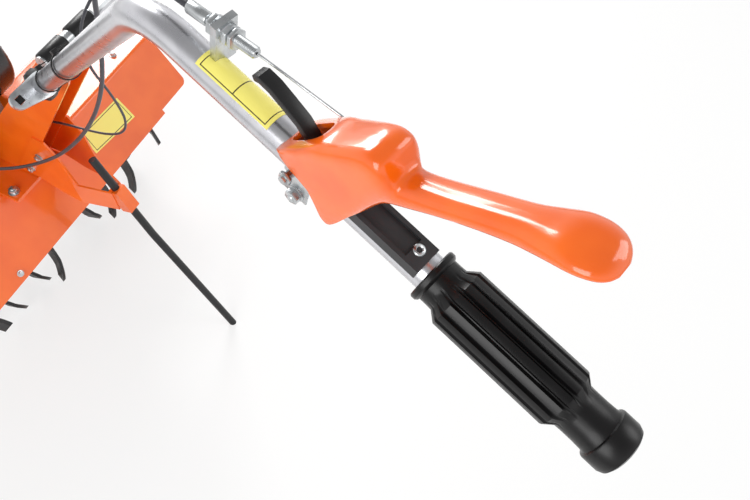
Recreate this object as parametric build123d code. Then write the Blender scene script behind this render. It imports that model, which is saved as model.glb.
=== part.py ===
from build123d import *
import math
import os

# Petrol tiller, walk-behind, tines under the engine, in millimetres.
# While it is built, X runs forward from near the tine shaft, Y to the operator's left, Z up from the floor.
# At the end all pieces move along X, so that the origin is the middle of the footprint on the floor.

# Running clearance between a pin and its bore, and between a moving piece and its neighbour
RUN_GAP = 0.06
FREE_GAP = 5.0

# Tine reel, turned so that a tip of each outermost set stands on the floor
TIP_RADIUS = 150.0
AXLE_X = 15.0
AXLE_Z = TIP_RADIUS
SHAFT_RADIUS = 14.0
SHAFT_HALF = 310.0
SHAFT_END_RADIUS = 12.5
SHAFT_END_LONG = 22.0
HUB_RADIUS = 21.0
REEL_INNER = 34.0
REEL_OUTER = 272.0
SET_PLACES = (50.0, 114.0, 184.0, 254.0)
LEFT_TURNS = (-45.0, -67.5, -67.5, 0.0)
RIGHT_TURNS = (-67.5, -45.0, -45.0, 0.0)
FLANGE_RADIUS = 50.0
FLANGE_THICK = 6.0
BLADES = 4
BLADE_WIDE = 34.0
BLADE_THICK = 6.0
BLADE_ROOT = 24.0
BLADE_STRAIGHT = TIP_RADIUS - 66.0
BLADE_BEND = TIP_RADIUS - 60.0
BLADE_SPREAD = 30.0
BLADE_KNEE = 28.0
BLADE_LEAN = 9.0
HOOK_BACK = 26.0
HOOK_END = 16.0
HOOK_NOSE = (10.0, 26.0)
HOOK_THROAT = (4.0, 36.0)

# Tine guard, its wings and the chassis plate on it
GUARD_SHEET = 2.5
GUARD_TOP = 328.0
GUARD_HALF = 244.0
GUARD_LINE = ((-155.0, 229.0), (-87.0, GUARD_TOP), (62.0, GUARD_TOP), (144.0, 252.0))
GUARD_FOLD = 8.0
LAP_EASE = 0.5
WING_WIDE = 82.0
WING_HALF = GUARD_HALF + WING_WIDE
WING_LAP = 20.0
WING_TRIM = 8.5
WING_ROUND = 12.0
PLATE_REAR = -125.0
PLATE_FRONT = 178.0
PLATE_HALF = 82.0
PLATE_THICK = 6.0
PLATE_TOP = GUARD_TOP + PLATE_THICK

# Chain case between the two halves of the reel
CASE_WIDE = 50.0
CASE_FOOT = 40.0
CASE_HEAD = 35.0
CASE_TOP = GUARD_TOP - GUARD_SHEET
CASE_FLANGE_LONG = 80.0
CASE_FLANGE_WIDE = 84.0
CASE_FLANGE_THICK = 12.0
CASE_BOSS_RADIUS = 30.0

# Handle column, a narrow channel open to the rear
PIVOT_X = -290.0
PIVOT_Z = 640.0
PIVOT_BOLT = 5.0
COLUMN_HALF = 27.0
COLUMN_SHEET = 4.0
COLUMN_WEB = 5.0
COLUMN_FOOT_REAR = -102.0
COLUMN_FOOT_FRONT = 8.0
COLUMN_HEAD_RADIUS = 22.0

# Drag stake: straight through its socket, bent rearward below it
STAKE_RADIUS = 6.5
STAKE_TOP = (-239.0, 411.0)
STAKE_BEND = (-300.0, 240.0)
STAKE_FOOT = (-414.0, 0.0)
STAKE_BEND_RADIUS = 150.0
SOCKET_Z = 328.0
SOCKET_LONG = 46.0
SOCKET_WALL = 4.0

# Its bracket: two cheeks outside the column that converge on the socket, as outline points in X and Z
BRACKET_SHEET = 3.0
BRACKET_FOLD_X = -205.0
BRACKET_SIDE = (
    (-84.0, 337.0), (-170.0, 458.0), (-190.0, 455.0), (-205.0, 425.0), (-212.0, 360.0),
    (-262.0, 350.0), (-262.0, 306.0), (-170.0, 320.0), (-128.0, 337.0),
)

# Handle arms, from the foot through the bend to the grip
TUBE = 25.0
TUBE_WALL = 2.0
ARM_FOOT = (-317.0, 62.0, 667.0)
ARM_BEND = (-624.0, 164.0, 975.0)
ARM_END = (-1010.0, 268.0, 868.0)
ARM_BEND_RADIUS = 66.0
TUBE_END = 405.0
FOOT_SHEET = 6.0
FOOT_INNER = 46.0
FOOT_RADIUS = 16.0
FOOT_TONGUE = 11.0
FOOT_RISE = 5.5
FOOT_HOLE = 9.0
FOOT_HOLE_Y = 96.0
YOKE_SHEET = 5.0
YOKE_DEEP = 24.0
YOKE_CHEEK = 17.0
YOKE_CHEEK_RISE = (9.0, 11.0)
YOKE_GAP = 0.5
CROSS_RADIUS = 9.0
KNOB_RADIUS = 22.0
KNOB_LONG = 24.0

# Grips, by the distance behind the bend and the radius
GRIP_START = 255.0
GRIP_END = 411.0
GRIP_FLANGE = 18.5
GRIP_FLANGE_LONG = 5.0
GRIP_NECK = 16.0
GRIP_NECK_LONG = 14.0
GRIP_BODY = 21.5
GRIP_BODY_START = 277.0
GRIP_BODY_END = 364.0
GRIP_SLOPE = 8.0
GRIP_CAP = 19.0
GRIP_CAP_LONG = 17.0

# Clutch lever on the left arm, by the distance behind the bend and the height over the tube's middle
LEVER_PIVOT = 150.0
LEVER_PIN = 3.0
LEVER_OUTSIDE = 18.0
LEVER_INSIDE = 14.5
LEVER_ARM_HALF = 11.5
LEVER_END_HALF = 17.0
LEVER_END_PLACE = (300.0, 128.0)
LEVER_END_RADIUS = 17.5
LEVER_HEAD = (
    (136.0, 8.0), (138.0, 20.0), (150.0, 40.0), (170.0, 63.0), (190.0, 76.0), (204.0, 79.0),
    (214.0, 68.0), (219.0, 60.0), (211.0, 47.0), (202.0, 28.0), (193.0, 4.0), (190.0, -12.0),
    (186.0, -20.0), (180.0, -22.0), (170.0, -4.0), (143.0, 4.0),
)
LEVER_HOLLOW = (
    (100.0, -60.0), (132.0, 12.0), (143.0, 20.0), (154.0, 34.0), (174.0, 57.0), (190.0, 70.0),
    (201.0, 72.0), (208.0, 60.0), (240.0, 60.0), (240.0, -60.0),
)
LEVER_ARM = (
    (203.0, 64.0), (214.0, 68.0), (230.0, 79.0), (279.0, 117.0), (291.0, 131.0), (299.0, 139.0),
    (306.0, 142.5), (313.0, 141.5), (317.0, 136.0), (315.0, 129.0), (301.0, 120.0), (285.0, 108.0),
    (240.0, 73.0), (224.0, 62.5), (208.0, 60.5),
)
SLOT_START = 138.0
SLOT_END = 166.0
CATCH_HALF = 6.0
CATCH = (
    (150.0, 19.0), (142.0, 31.0), (130.0, 41.0), (112.0, 47.0), (104.0, 43.0),
    (106.0, 38.0), (113.0, 41.0), (128.0, 35.0), (138.0, 25.0), (144.0, 17.0),
)

# Tray under the lever, by distance, height and lateral place
TRAY_START = 190.0
TRAY_END = 250.0
TRAY_TOP = 16.0
TRAY_RIGHT = -8.0
TRAY_LEFT = 13.0
TRAY_WALL = 3.0

# Cable adjuster: its axis lies beside the tube's middle plane, from the ferrule to the barrel's end
CABLE_SIDE = -9.0
FERRULE_AT = (36.0, 27.0)
BARREL_AT = (94.0, 41.0)
FERRULE_RADIUS = 4.5
FERRULE_LONG = 18.0
BARREL_RADIUS = 4.0
POST_START = 63.0
POST_THICK = 5.0
POST_TOP = 44.0
POST_HALF = 9.0
WIRE_RADIUS = 0.9
WIRE_END = (160.0, 60.5)

# Throttle control on the right arm, in the same terms
THROTTLE_START = 196.0
THROTTLE_END = 244.0
THROTTLE_TOP = 26.0
THROTTLE_HALF = 15.0
THROTTLE_LEVER_RADIUS = 11.0

# Cords: radius, and each bend's share of the shorter run beside it
CLUTCH_CABLE = 2.5
THROTTLE_CABLE = 1.75
BEND_SHARE = 0.45
STOP_RADIUS = 6.0
WEB_HOLE = 3.5

# Transport wheel at the front, on a fork that swings up
WHEEL_RADIUS = 95.0
WHEEL_WIDE = 40.0
WHEEL_X = 272.0
WHEEL_Z = 103.0
TYRE_ROUND = 12.0
RIM_RADIUS = 58.0
RIM_LIP = 8.0
RIM_WEB = 4.0
HUB_WHEEL = 16.0
AXLE_RADIUS = 8.0
FORK_PIVOT_X = 196.0
FORK_PIVOT_Z = 306.0
FORK_PIN = 6.0
FORK_HALF = 32.0
FORK_SHEET = 5.0
FORK_HEAD = 17.0
FORK_EYE = 15.0
FORK_TIE = 44.0
FORK_TIE_RADIUS = 7.0
RIM_SET_IN = 6.0
HUB_PLAY = 1.0
NOSE_HIGH = 48.0
NOSE_THICK = 8.0
EAR_TIP = 16.0
EAR_ROOT = 20.0
EAR_LAP = 2.0

# Engine on the chassis plate
ENGINE_X = 82.0
ENGINE_LONG = 132.0
ENGINE_HALF = 62.0
ENGINE_HIGH = 96.0
CRANK_Z = PLATE_TOP + 62.0
FAN_Z = CRANK_Z + 30.0
SHROUD_RADIUS = 88.0
SHROUD_DEEP = 42.0
STARTER_RADIUS = 46.0
STARTER_DEEP = 16.0
PULL_X = ENGINE_X - 6.0
PULL_RISE = 12.0
PULL_STEM = 6.0
PULL_WIDE = 46.0
PULL_THICK = 14.0
CYLINDER_X = ENGINE_X + 18.0
CYLINDER_Y = 8.0
CYLINDER_RADIUS = 30.0
CYLINDER_LONG = 96.0
FINS = 7
FIN_STEP = 12.0
FIN_THICK = 4.0
FIN_SIZE = (92.0, 96.0)
HEAD_SIZE = (70.0, 74.0)
HEAD_HIGH = 10.0
TANK_LONG = 150.0
TANK_WIDE = 120.0
TANK_HIGH = 62.0
TANK_LOW = PLATE_TOP + ENGINE_HIGH + CYLINDER_LONG + 9.0
TANK_X = ENGINE_X - 20.0
TANK_ROUND = 20.0
CAP_RADIUS = 24.0
CAP_HIGH = 18.0
CAP_X = ENGINE_X - 48.0
FILTER_SIZE = (60.0, 84.0, 84.0)
FILTER_X = ENGINE_X - 58.0
FILTER_LIFT = 10.0
MUFFLER_SIZE = (58.0, 100.0, 76.0)
MUFFLER_X = ENGINE_X + 93.0
MUFFLER_LIFT = 12.0
BOX_ROUND = 10.0
COVER_ROUND = 12.0
COVER_DROP = 14.0
COVER_THICK = 48.0
COVER_FRONT = 62.0
COVER_REAR = 48.0

pieces = {}


def add(name, shape):
    pieces[name] = shape


def pair(left):
    """A left piece and its mirror image, in one shape."""
    return Compound(children=[left, mirror(left, about=Plane.XZ)])


def rod_y(radius, start, end, x, z):
    """A round bar across the machine, from one Y to another."""
    return Pos(x, (start + end) / 2, z) * Rot(90, 0, 0) * Cylinder(radius, end - start)


def bore_y(radius, x, z):
    """A round cut right across the machine."""
    return rod_y(radius, -2 * WING_HALF, 2 * WING_HALF, x, z)


def sweep_round(path, radius):
    ring = Plane(origin=path @ 0, z_dir=path % 0) * Circle(radius)
    return sweep(ring, path)


def pipe(points, radius, bend):
    """A round bar along straight lines joined by bends of one radius."""
    return sweep_round(FilletPolyline(*points, radius=bend), radius)


def cord(name, points, radius):
    """A round cord along a chosen route, with a bend at each inner point."""
    points = [Vector(point) for point in points]
    bends = []
    for back, at, ahead in zip(points, points[1:], points[2:]):
        turn = math.radians((at - back).get_angle(ahead - at))
        shorter = min((at - back).length, (ahead - at).length)
        bends.append(BEND_SHARE * shorter / math.tan(turn / 2))
    print(name, "bend radii", [round(bend) for bend in bends])
    add(name, sweep_round(FilletPolyline(*points, radius=bends), radius))


def side_plate(outline, half):
    """A closed outline in X and Z, extruded to both sides of the middle."""
    return extrude(Plane.XZ * make_face(Polyline(*outline, close=True)), amount=half, both=True)


def inset(line, depth):
    """The same line in X and Z, moved to its lower right by one depth, with its corners mitred."""
    points = [Vector(x, z) for x, z in line]
    inner = []
    for index, point in enumerate(points):
        back = point - points[index - 1] if index else points[1] - point
        ahead = points[index + 1] - point if index + 1 < len(points) else back
        back = back.normalized()
        ahead = ahead.normalized()
        normal = Vector(back.Y + ahead.Y, -back.X - ahead.X).normalized()
        reach = depth / normal.dot(Vector(back.Y, -back.X))
        inner.append((point.X + normal.X * reach, point.Y + normal.Y * reach))
    return inner


def folded(line, thick, half):
    """A sheet folded along a line in X and Z, with its thickness on the line's lower right."""
    return side_plate([*line, *reversed(inset(line, thick))], half)


def pressed(line, thick, half, bend):
    """The same kind of sheet, with its folds pressed round a tool: bend is the radius on the outside."""
    outer = FilletPolyline(*line, radius=bend)
    inner = FilletPolyline(*inset(line, thick), radius=bend - thick)
    outline = outer + Line(outer @ 1, inner @ 1) + inner + Line(inner @ 0, outer @ 0)
    return extrude(Plane.XZ * make_face(outline), amount=half, both=True)


def hull_plate(circles, half):
    """The outline round two or more circles in X and Z, extruded to both sides of the middle."""
    edges = []
    for x, z, radius in circles:
        edges.extend((Pos(x, z) * Circle(radius)).edges())
    return extrude(Plane.XZ * make_face(make_hull(edges)), amount=half, both=True)


def outside_of(half):
    """A large block over one half width to each side, to cut away the middle."""
    return Box(4 * PLATE_FRONT - 4 * PIVOT_X, 2 * half, 4 * PIVOT_Z)


def tine_blade():
    """One blade over the shaft: sabre outline from the side, bent to the left from the front."""
    half = BLADE_WIDE / 2
    tip = math.sqrt(TIP_RADIUS**2 - HOOK_BACK**2)
    outline = Line((half, BLADE_ROOT), (half, BLADE_STRAIGHT))
    heel = (-HOOK_BACK - HOOK_END, tip - HOOK_END)
    nose = (half - HOOK_NOSE[0], tip - HOOK_NOSE[1])
    throat = (HOOK_THROAT[0] - HOOK_BACK, tip - HOOK_THROAT[1])
    outline += ThreePointArc((half, BLADE_STRAIGHT), nose, (-HOOK_BACK, tip))
    outline += Line((-HOOK_BACK, tip), heel)
    outline += ThreePointArc(heel, throat, (-half, BLADE_STRAIGHT))
    outline += Polyline((-half, BLADE_STRAIGHT), (-half, BLADE_ROOT), (half, BLADE_ROOT))
    sabre = extrude(Plane.XZ * make_face(outline), amount=TIP_RADIUS, both=True)
    knee = (BLADE_LEAN, BLADE_BEND + BLADE_KNEE)
    bend = ((0, 0), (0, BLADE_BEND), knee, (BLADE_SPREAD, TIP_RADIUS + BLADE_THICK))
    strip = folded(bend, BLADE_THICK, TIP_RADIUS)
    return sabre & (Rot(0, 0, 90) * strip)


def make_reel(turns):
    """Half a reel: hub tube, flanges and hooked blades that bend left and right by turns."""
    outward_blade = Pos(0, -BLADE_THICK / 2, 0) * tine_blade()
    inward_blade = mirror(outward_blade, about=Plane.XZ)
    seat = (FLANGE_THICK + BLADE_THICK) / 2
    lean = math.degrees(math.asin(HOOK_BACK / TIP_RADIUS))
    last = len(SET_PLACES) - 1
    reel = rod_y(HUB_RADIUS, REEL_INNER, REEL_OUTER, AXLE_X, AXLE_Z)
    for index, y in enumerate(SET_PLACES):
        reel += rod_y(FLANGE_RADIUS, y - FLANGE_THICK / 2, y + FLANGE_THICK / 2, AXLE_X, AXLE_Z)
        for count in range(BLADES):
            outward = index == 0 or (count % 2 == 0 and index < last)
            blade = outward_blade if outward else inward_blade
            place = y + seat if outward else y - seat
            turn = lean + count * 360 / BLADES + turns[index]
            reel += Pos(AXLE_X, place, AXLE_Z) * Rot(0, turn, 0) * blade
    return reel - bore_y(SHAFT_RADIUS + RUN_GAP, AXLE_X, AXLE_Z)


def make_rotor():
    shaft = rod_y(SHAFT_END_RADIUS, -SHAFT_HALF, SHAFT_HALF, AXLE_X, AXLE_Z)
    thick_half = SHAFT_HALF - SHAFT_END_LONG
    add("rotor_shaft", shaft + rod_y(SHAFT_RADIUS, -thick_half, thick_half, AXLE_X, AXLE_Z))
    add("reel_left", make_reel(LEFT_TURNS))
    add("reel_right", mirror(make_reel(RIGHT_TURNS), about=Plane.XZ))


def make_guard():
    add("tine_guard", pressed(GUARD_LINE, GUARD_SHEET, GUARD_HALF, GUARD_FOLD))
    rear, fold = Vector(GUARD_LINE[0]), Vector(GUARD_LINE[1])
    wing_rear = rear + (fold - rear).normalized() * WING_TRIM
    wing_line = ((wing_rear.X, wing_rear.Y), *GUARD_LINE[1:])
    wing = pressed(wing_line, GUARD_SHEET, WING_HALF, GUARD_FOLD) - outside_of(GUARD_HALF)
    corners = [
        edge for edge in wing.edges()
        if abs(edge.length - GUARD_SHEET) < 0.01 and abs(edge.center().Y) > WING_HALF - 1
    ]
    wing = fillet(corners, WING_ROUND)
    lap_fold = GUARD_FOLD - GUARD_SHEET + LAP_EASE
    lap = pressed(inset(wing_line, GUARD_SHEET), GUARD_SHEET, GUARD_HALF + WING_LAP, lap_fold)
    add("guard_wings", wing + (lap - outside_of(GUARD_HALF - WING_LAP)))

    plate_long = PLATE_FRONT - PLATE_REAR
    plate_mid = (PLATE_FRONT + PLATE_REAR) / 2
    plate = Box(plate_long, 2 * PLATE_HALF, PLATE_THICK)
    add("chassis_plate", Pos(plate_mid, 0, GUARD_TOP + PLATE_THICK / 2) * plate)

    case_ends = ((AXLE_X, AXLE_Z, CASE_FOOT), (AXLE_X, CASE_TOP - CASE_HEAD, CASE_HEAD))
    case = hull_plate(case_ends, CASE_WIDE / 2)
    flange = Box(CASE_FLANGE_LONG, CASE_FLANGE_WIDE, CASE_FLANGE_THICK)
    case += Pos(AXLE_X, 0, CASE_TOP - CASE_FLANGE_THICK / 2) * flange
    boss_half = REEL_INNER - FREE_GAP
    case += rod_y(CASE_BOSS_RADIUS, -boss_half, boss_half, AXLE_X, AXLE_Z)
    add("chain_case", case - bore_y(SHAFT_RADIUS + RUN_GAP, AXLE_X, AXLE_Z))


def column_side(head, foot_rear, foot_front, half):
    """The column from the side: a round head about the clamp bolt, and a deep foot on the plate."""
    edges = (Pos(PIVOT_X, PIVOT_Z) * Circle(head)).edges()
    edges += (Line((foot_rear, PLATE_TOP), (foot_front, PLATE_TOP))).edges()
    return extrude(Plane.XZ * make_face(make_hull(edges)), amount=half, both=True)


def make_column():
    column = column_side(COLUMN_HEAD_RADIUS, COLUMN_FOOT_REAR, COLUMN_FOOT_FRONT, COLUMN_HALF)
    inner_head = COLUMN_HEAD_RADIUS - COLUMN_SHEET
    inner_half = COLUMN_HALF - COLUMN_SHEET
    inner = column_side(inner_head, COLUMN_FOOT_REAR, COLUMN_FOOT_FRONT - COLUMN_WEB, inner_half)
    column -= inner
    column -= Pos(-COLUMN_HEAD_RADIUS, 0, -COLUMN_HEAD_RADIUS / 2) * inner
    foot_long = COLUMN_FOOT_FRONT - COLUMN_FOOT_REAR
    foot = Box(foot_long, 2 * COLUMN_HALF, COLUMN_SHEET)
    column += Pos((COLUMN_FOOT_FRONT + COLUMN_FOOT_REAR) / 2, 0, PLATE_TOP + COLUMN_SHEET / 2) * foot
    column -= bore_y(PIVOT_BOLT + RUN_GAP, PIVOT_X, PIVOT_Z)
    column -= between(WEB_HOLE, Vector(THROTTLE_ROUTE[-4]), Vector(THROTTLE_ROUTE[-3]))
    add("handle_column", column)


def between(radius, start, end):
    """A straight round bar from one point to another."""
    along = end - start
    return Solid.make_cylinder(radius, along.length, Plane(origin=start, z_dir=along))


def stake_x(z):
    """Where the straight upper part of the stake's middle line is at one height."""
    lean = (STAKE_BEND[0] - STAKE_TOP[0]) / (STAKE_TOP[1] - STAKE_BEND[1])
    return STAKE_TOP[0] + lean * (STAKE_TOP[1] - z)


def make_drag():
    lean = math.degrees(math.atan2(STAKE_TOP[0] - STAKE_BEND[0], STAKE_TOP[1] - STAKE_BEND[1]))
    at_socket = Pos(stake_x(SOCKET_Z), 0, SOCKET_Z) * Rot(0, lean, 0)
    outer = STAKE_RADIUS + SOCKET_WALL
    front, rear = BRACKET_SIDE[0][0], min(x for x, z in BRACKET_SIDE)
    near = outer - BRACKET_SHEET / 2
    far = COLUMN_HALF + BRACKET_SHEET
    plan = (
        (front, COLUMN_HALF), (BRACKET_FOLD_X, COLUMN_HALF), (rear, near),
        (rear, near + BRACKET_SHEET), (BRACKET_FOLD_X, far), (front, far),
    )
    cheek = extrude(make_face(Polyline(*plan, close=True)), amount=PIVOT_Z)
    cheek &= side_plate(BRACKET_SIDE, WING_HALF)
    bracket = at_socket * Box(2 * outer, 2 * outer, SOCKET_LONG)
    bracket += cheek
    bracket += mirror(cheek, about=Plane.XZ)
    bracket -= at_socket * Cylinder(STAKE_RADIUS + RUN_GAP, PIVOT_Z)
    add("drag_bracket", bracket)

    top = Vector(STAKE_TOP[0], 0, STAKE_TOP[1])
    bend = Vector(STAKE_BEND[0], 0, STAKE_BEND[1])
    foot = Vector(STAKE_FOOT[0], 0, STAKE_FOOT[1])
    low = foot + (foot - bend).normalized() * 4 * STAKE_RADIUS
    stake = pipe((top, bend, low), STAKE_RADIUS, STAKE_BEND_RADIUS)
    stake -= Pos(STAKE_FOOT[0], 0, -AXLE_Z / 2) * Box(2 * AXLE_Z, AXLE_Z, AXLE_Z)
    add("drag_stake", stake)


def make_wheel():
    ear_half = FORK_HALF - FORK_SHEET - RUN_GAP
    nose_box = Box(NOSE_THICK, 2 * ear_half, NOSE_HIGH)
    nose = Pos(PLATE_FRONT - NOSE_THICK / 2, 0, GUARD_TOP - NOSE_HIGH / 2) * nose_box
    head, eye = (FORK_PIVOT_X, FORK_PIVOT_Z), (WHEEL_X, WHEEL_Z)
    ears = hull_plate(((*head, EAR_TIP), (PLATE_FRONT + EAR_LAP, FORK_PIVOT_Z, EAR_ROOT)), ear_half)
    gap_rear = (PLATE_FRONT + NOSE_THICK + EAR_LAP * 2, FORK_PIVOT_Z, FORK_TIE)
    ears -= hull_plate(((*head, FORK_TIE), gap_rear), ear_half - FORK_SHEET)
    nose += ears
    nose -= bore_y(FORK_PIN + RUN_GAP, FORK_PIVOT_X, FORK_PIVOT_Z)
    add("wheel_mount", nose)
    pin_half = FORK_HALF + 2 * FORK_PIN
    add("fork_bolt", rod_y(FORK_PIN, -pin_half, pin_half, FORK_PIVOT_X, FORK_PIVOT_Z))

    leg = hull_plate(((*head, FORK_HEAD), (*eye, FORK_EYE)), FORK_HALF)
    leg -= hull_plate(((*head, RIM_RADIUS), (*eye, RIM_RADIUS)), FORK_HALF - FORK_SHEET)
    leg -= bore_y(FORK_PIN + RUN_GAP, *head)
    leg -= bore_y(AXLE_RADIUS + RUN_GAP / 6, *eye)
    along = Vector(WHEEL_X - FORK_PIVOT_X, 0, WHEEL_Z - FORK_PIVOT_Z).normalized()
    tie = Vector(FORK_PIVOT_X, 0, FORK_PIVOT_Z) + along * FORK_TIE
    tie_half = FORK_HALF - FORK_SHEET / 2
    leg += rod_y(FORK_TIE_RADIUS, -tie_half, tie_half, tie.X, tie.Z)
    add("wheel_fork", leg)
    add("wheel_axle", rod_y(AXLE_RADIUS, -FORK_HALF - AXLE_RADIUS, FORK_HALF + AXLE_RADIUS, *eye))

    rim_half = WHEEL_WIDE / 2 - RIM_SET_IN
    rim = rod_y(RIM_RADIUS, -rim_half, rim_half, *eye)
    rim -= rod_y(RIM_RADIUS - RIM_LIP, RIM_WEB, WHEEL_WIDE, *eye)
    rim -= rod_y(RIM_RADIUS - RIM_LIP, -WHEEL_WIDE, -RIM_WEB, *eye)
    hub_half = FORK_HALF - FORK_SHEET - HUB_PLAY
    rim += rod_y(HUB_WHEEL, -hub_half, hub_half, *eye)
    add("wheel_rim", rim - bore_y(AXLE_RADIUS + RUN_GAP, *eye))
    tyre = rod_y(WHEEL_RADIUS, -WHEEL_WIDE / 2, WHEEL_WIDE / 2, *eye)
    tyre = fillet(tyre.edges().filter_by(GeomType.CIRCLE), TYRE_ROUND)
    add("wheel_tyre", tyre - bore_y(RIM_RADIUS, *eye))


def make_engine():
    block_top = PLATE_TOP + ENGINE_HIGH
    block = Pos(ENGINE_X, 0, PLATE_TOP + ENGINE_HIGH / 2) * Box(ENGINE_LONG, 2 * ENGINE_HALF, ENGINE_HIGH)
    add("engine_block", fillet(block.edges().filter_by(Axis.Z), COVER_ROUND))

    barrel = Cylinder(CYLINDER_RADIUS, CYLINDER_LONG)
    for step in range(FINS):
        barrel += Pos(0, 0, (step - (FINS - 1) / 2) * FIN_STEP) * Box(*FIN_SIZE, FIN_THICK)
    barrel += Pos(0, 0, (CYLINDER_LONG + HEAD_HIGH) / 2 - 1) * Box(*HEAD_SIZE, HEAD_HIGH)
    add("engine_cylinder", Pos(CYLINDER_X, CYLINDER_Y, block_top + CYLINDER_LONG / 2) * barrel)

    shroud_end = -ENGINE_HALF - SHROUD_DEEP
    shroud = rod_y(SHROUD_RADIUS, shroud_end, -ENGINE_HALF, ENGINE_X, FAN_Z)
    add("engine_shroud", fillet(shroud.faces().sort_by(Axis.Y)[0].edges(), COVER_ROUND))
    cup = rod_y(STARTER_RADIUS, shroud_end - STARTER_DEEP, shroud_end, ENGINE_X, FAN_Z)
    add("recoil_starter", fillet(cup.faces().sort_by(Axis.Y)[0].edges(), COVER_ROUND / 2))
    pull_z = FAN_Z + STARTER_RADIUS + PULL_RISE
    pull_stem = shroud_end - PULL_STEM
    pull = Pos(PULL_X, pull_stem - (PULL_THICK / 2 - 2), pull_z) * Box(PULL_WIDE, PULL_THICK, PULL_THICK)
    pull += rod_y(PULL_THICK / 2, pull_stem, shroud_end, PULL_X, pull_z)
    add("pull_handle", pull)

    tank = Pos(TANK_X, CYLINDER_Y, TANK_LOW + TANK_HIGH / 2) * Box(TANK_LONG, TANK_WIDE, TANK_HIGH)
    add("fuel_tank", fillet(tank.edges(), TANK_ROUND))
    cap_middle = TANK_LOW + TANK_HIGH + CAP_HIGH / 2
    add("tank_cap", Pos(CAP_X, CYLINDER_Y, cap_middle) * Cylinder(CAP_RADIUS, CAP_HIGH))
    filter_middle = block_top + FILTER_LIFT + FILTER_SIZE[2] / 2
    filter_box = Pos(FILTER_X, CYLINDER_Y, filter_middle) * Box(*FILTER_SIZE)
    add("air_filter", fillet(filter_box.edges(), BOX_ROUND))
    muffler_middle = block_top + MUFFLER_LIFT + MUFFLER_SIZE[2] / 2
    muffler = Pos(MUFFLER_X, CYLINDER_Y, muffler_middle) * Box(*MUFFLER_SIZE)
    add("muffler", fillet(muffler.edges(), BOX_ROUND - 1))

    cover_ends = ((ENGINE_X, CRANK_Z, COVER_FRONT), (0, CRANK_Z - COVER_DROP, COVER_REAR))
    cover = Pos(0, ENGINE_HALF + COVER_THICK / 2 + 1, 0) * hull_plate(cover_ends, COVER_THICK / 2)
    cover = fillet(cover.faces().sort_by(Axis.Y)[-1].edges(), BOX_ROUND)
    last = Vector(CLUTCH_ROUTE[-1])
    along = (last - Vector(CLUTCH_ROUTE[-2])).normalized()
    add("belt_cover", cover + between(STOP_RADIUS, last, last + along * COVER_REAR))


def grip_plane():
    """X along the left grip to the rear, Y up across it, Z to the operator's left, from the bend."""
    bend, end = Vector(ARM_BEND), Vector(ARM_END)
    along = (end - bend).normalized()
    left = Vector(along.Y, -along.X, 0).normalized()
    return Plane(origin=bend, x_dir=along, z_dir=left)


def grip_point(along, up, side=0.0):
    return grip_plane().from_local_coords(Vector(along, up, side))


def right_grip_point(along, up, side):
    """The same place on the right grip."""
    left = grip_point(along, up, side)
    return (left.X, -left.Y, left.Z)


def in_grip(outline, low, high):
    """An outline beside the left tube, extruded from one lateral place to another."""
    frame = grip_plane().offset(low)
    return extrude(frame * make_face(Polyline(*outline, close=True)), amount=high - low)


def grip_box(start, end, bottom, top, low, high):
    return in_grip(((start, bottom), (start, top), (end, top), (end, bottom)), low, high)


def tube_rod(radius, start, end):
    """A round bar on the left tube's own axis."""
    return between(radius, grip_point(start, 0), grip_point(end, 0))


def pin_rod(radius, low, high):
    """A round bar across the left tube, on the lever's pivot."""
    return between(radius, grip_point(LEVER_PIVOT, 0, low), grip_point(LEVER_PIVOT, 0, high))


def cable_point(share):
    """A point on the adjuster's axis, as a share of the way from the ferrule to the barrel's end."""
    along = FERRULE_AT[0] + (BARREL_AT[0] - FERRULE_AT[0]) * share
    up = FERRULE_AT[1] + (BARREL_AT[1] - FERRULE_AT[1]) * share
    return grip_point(along, up, CABLE_SIDE)


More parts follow.
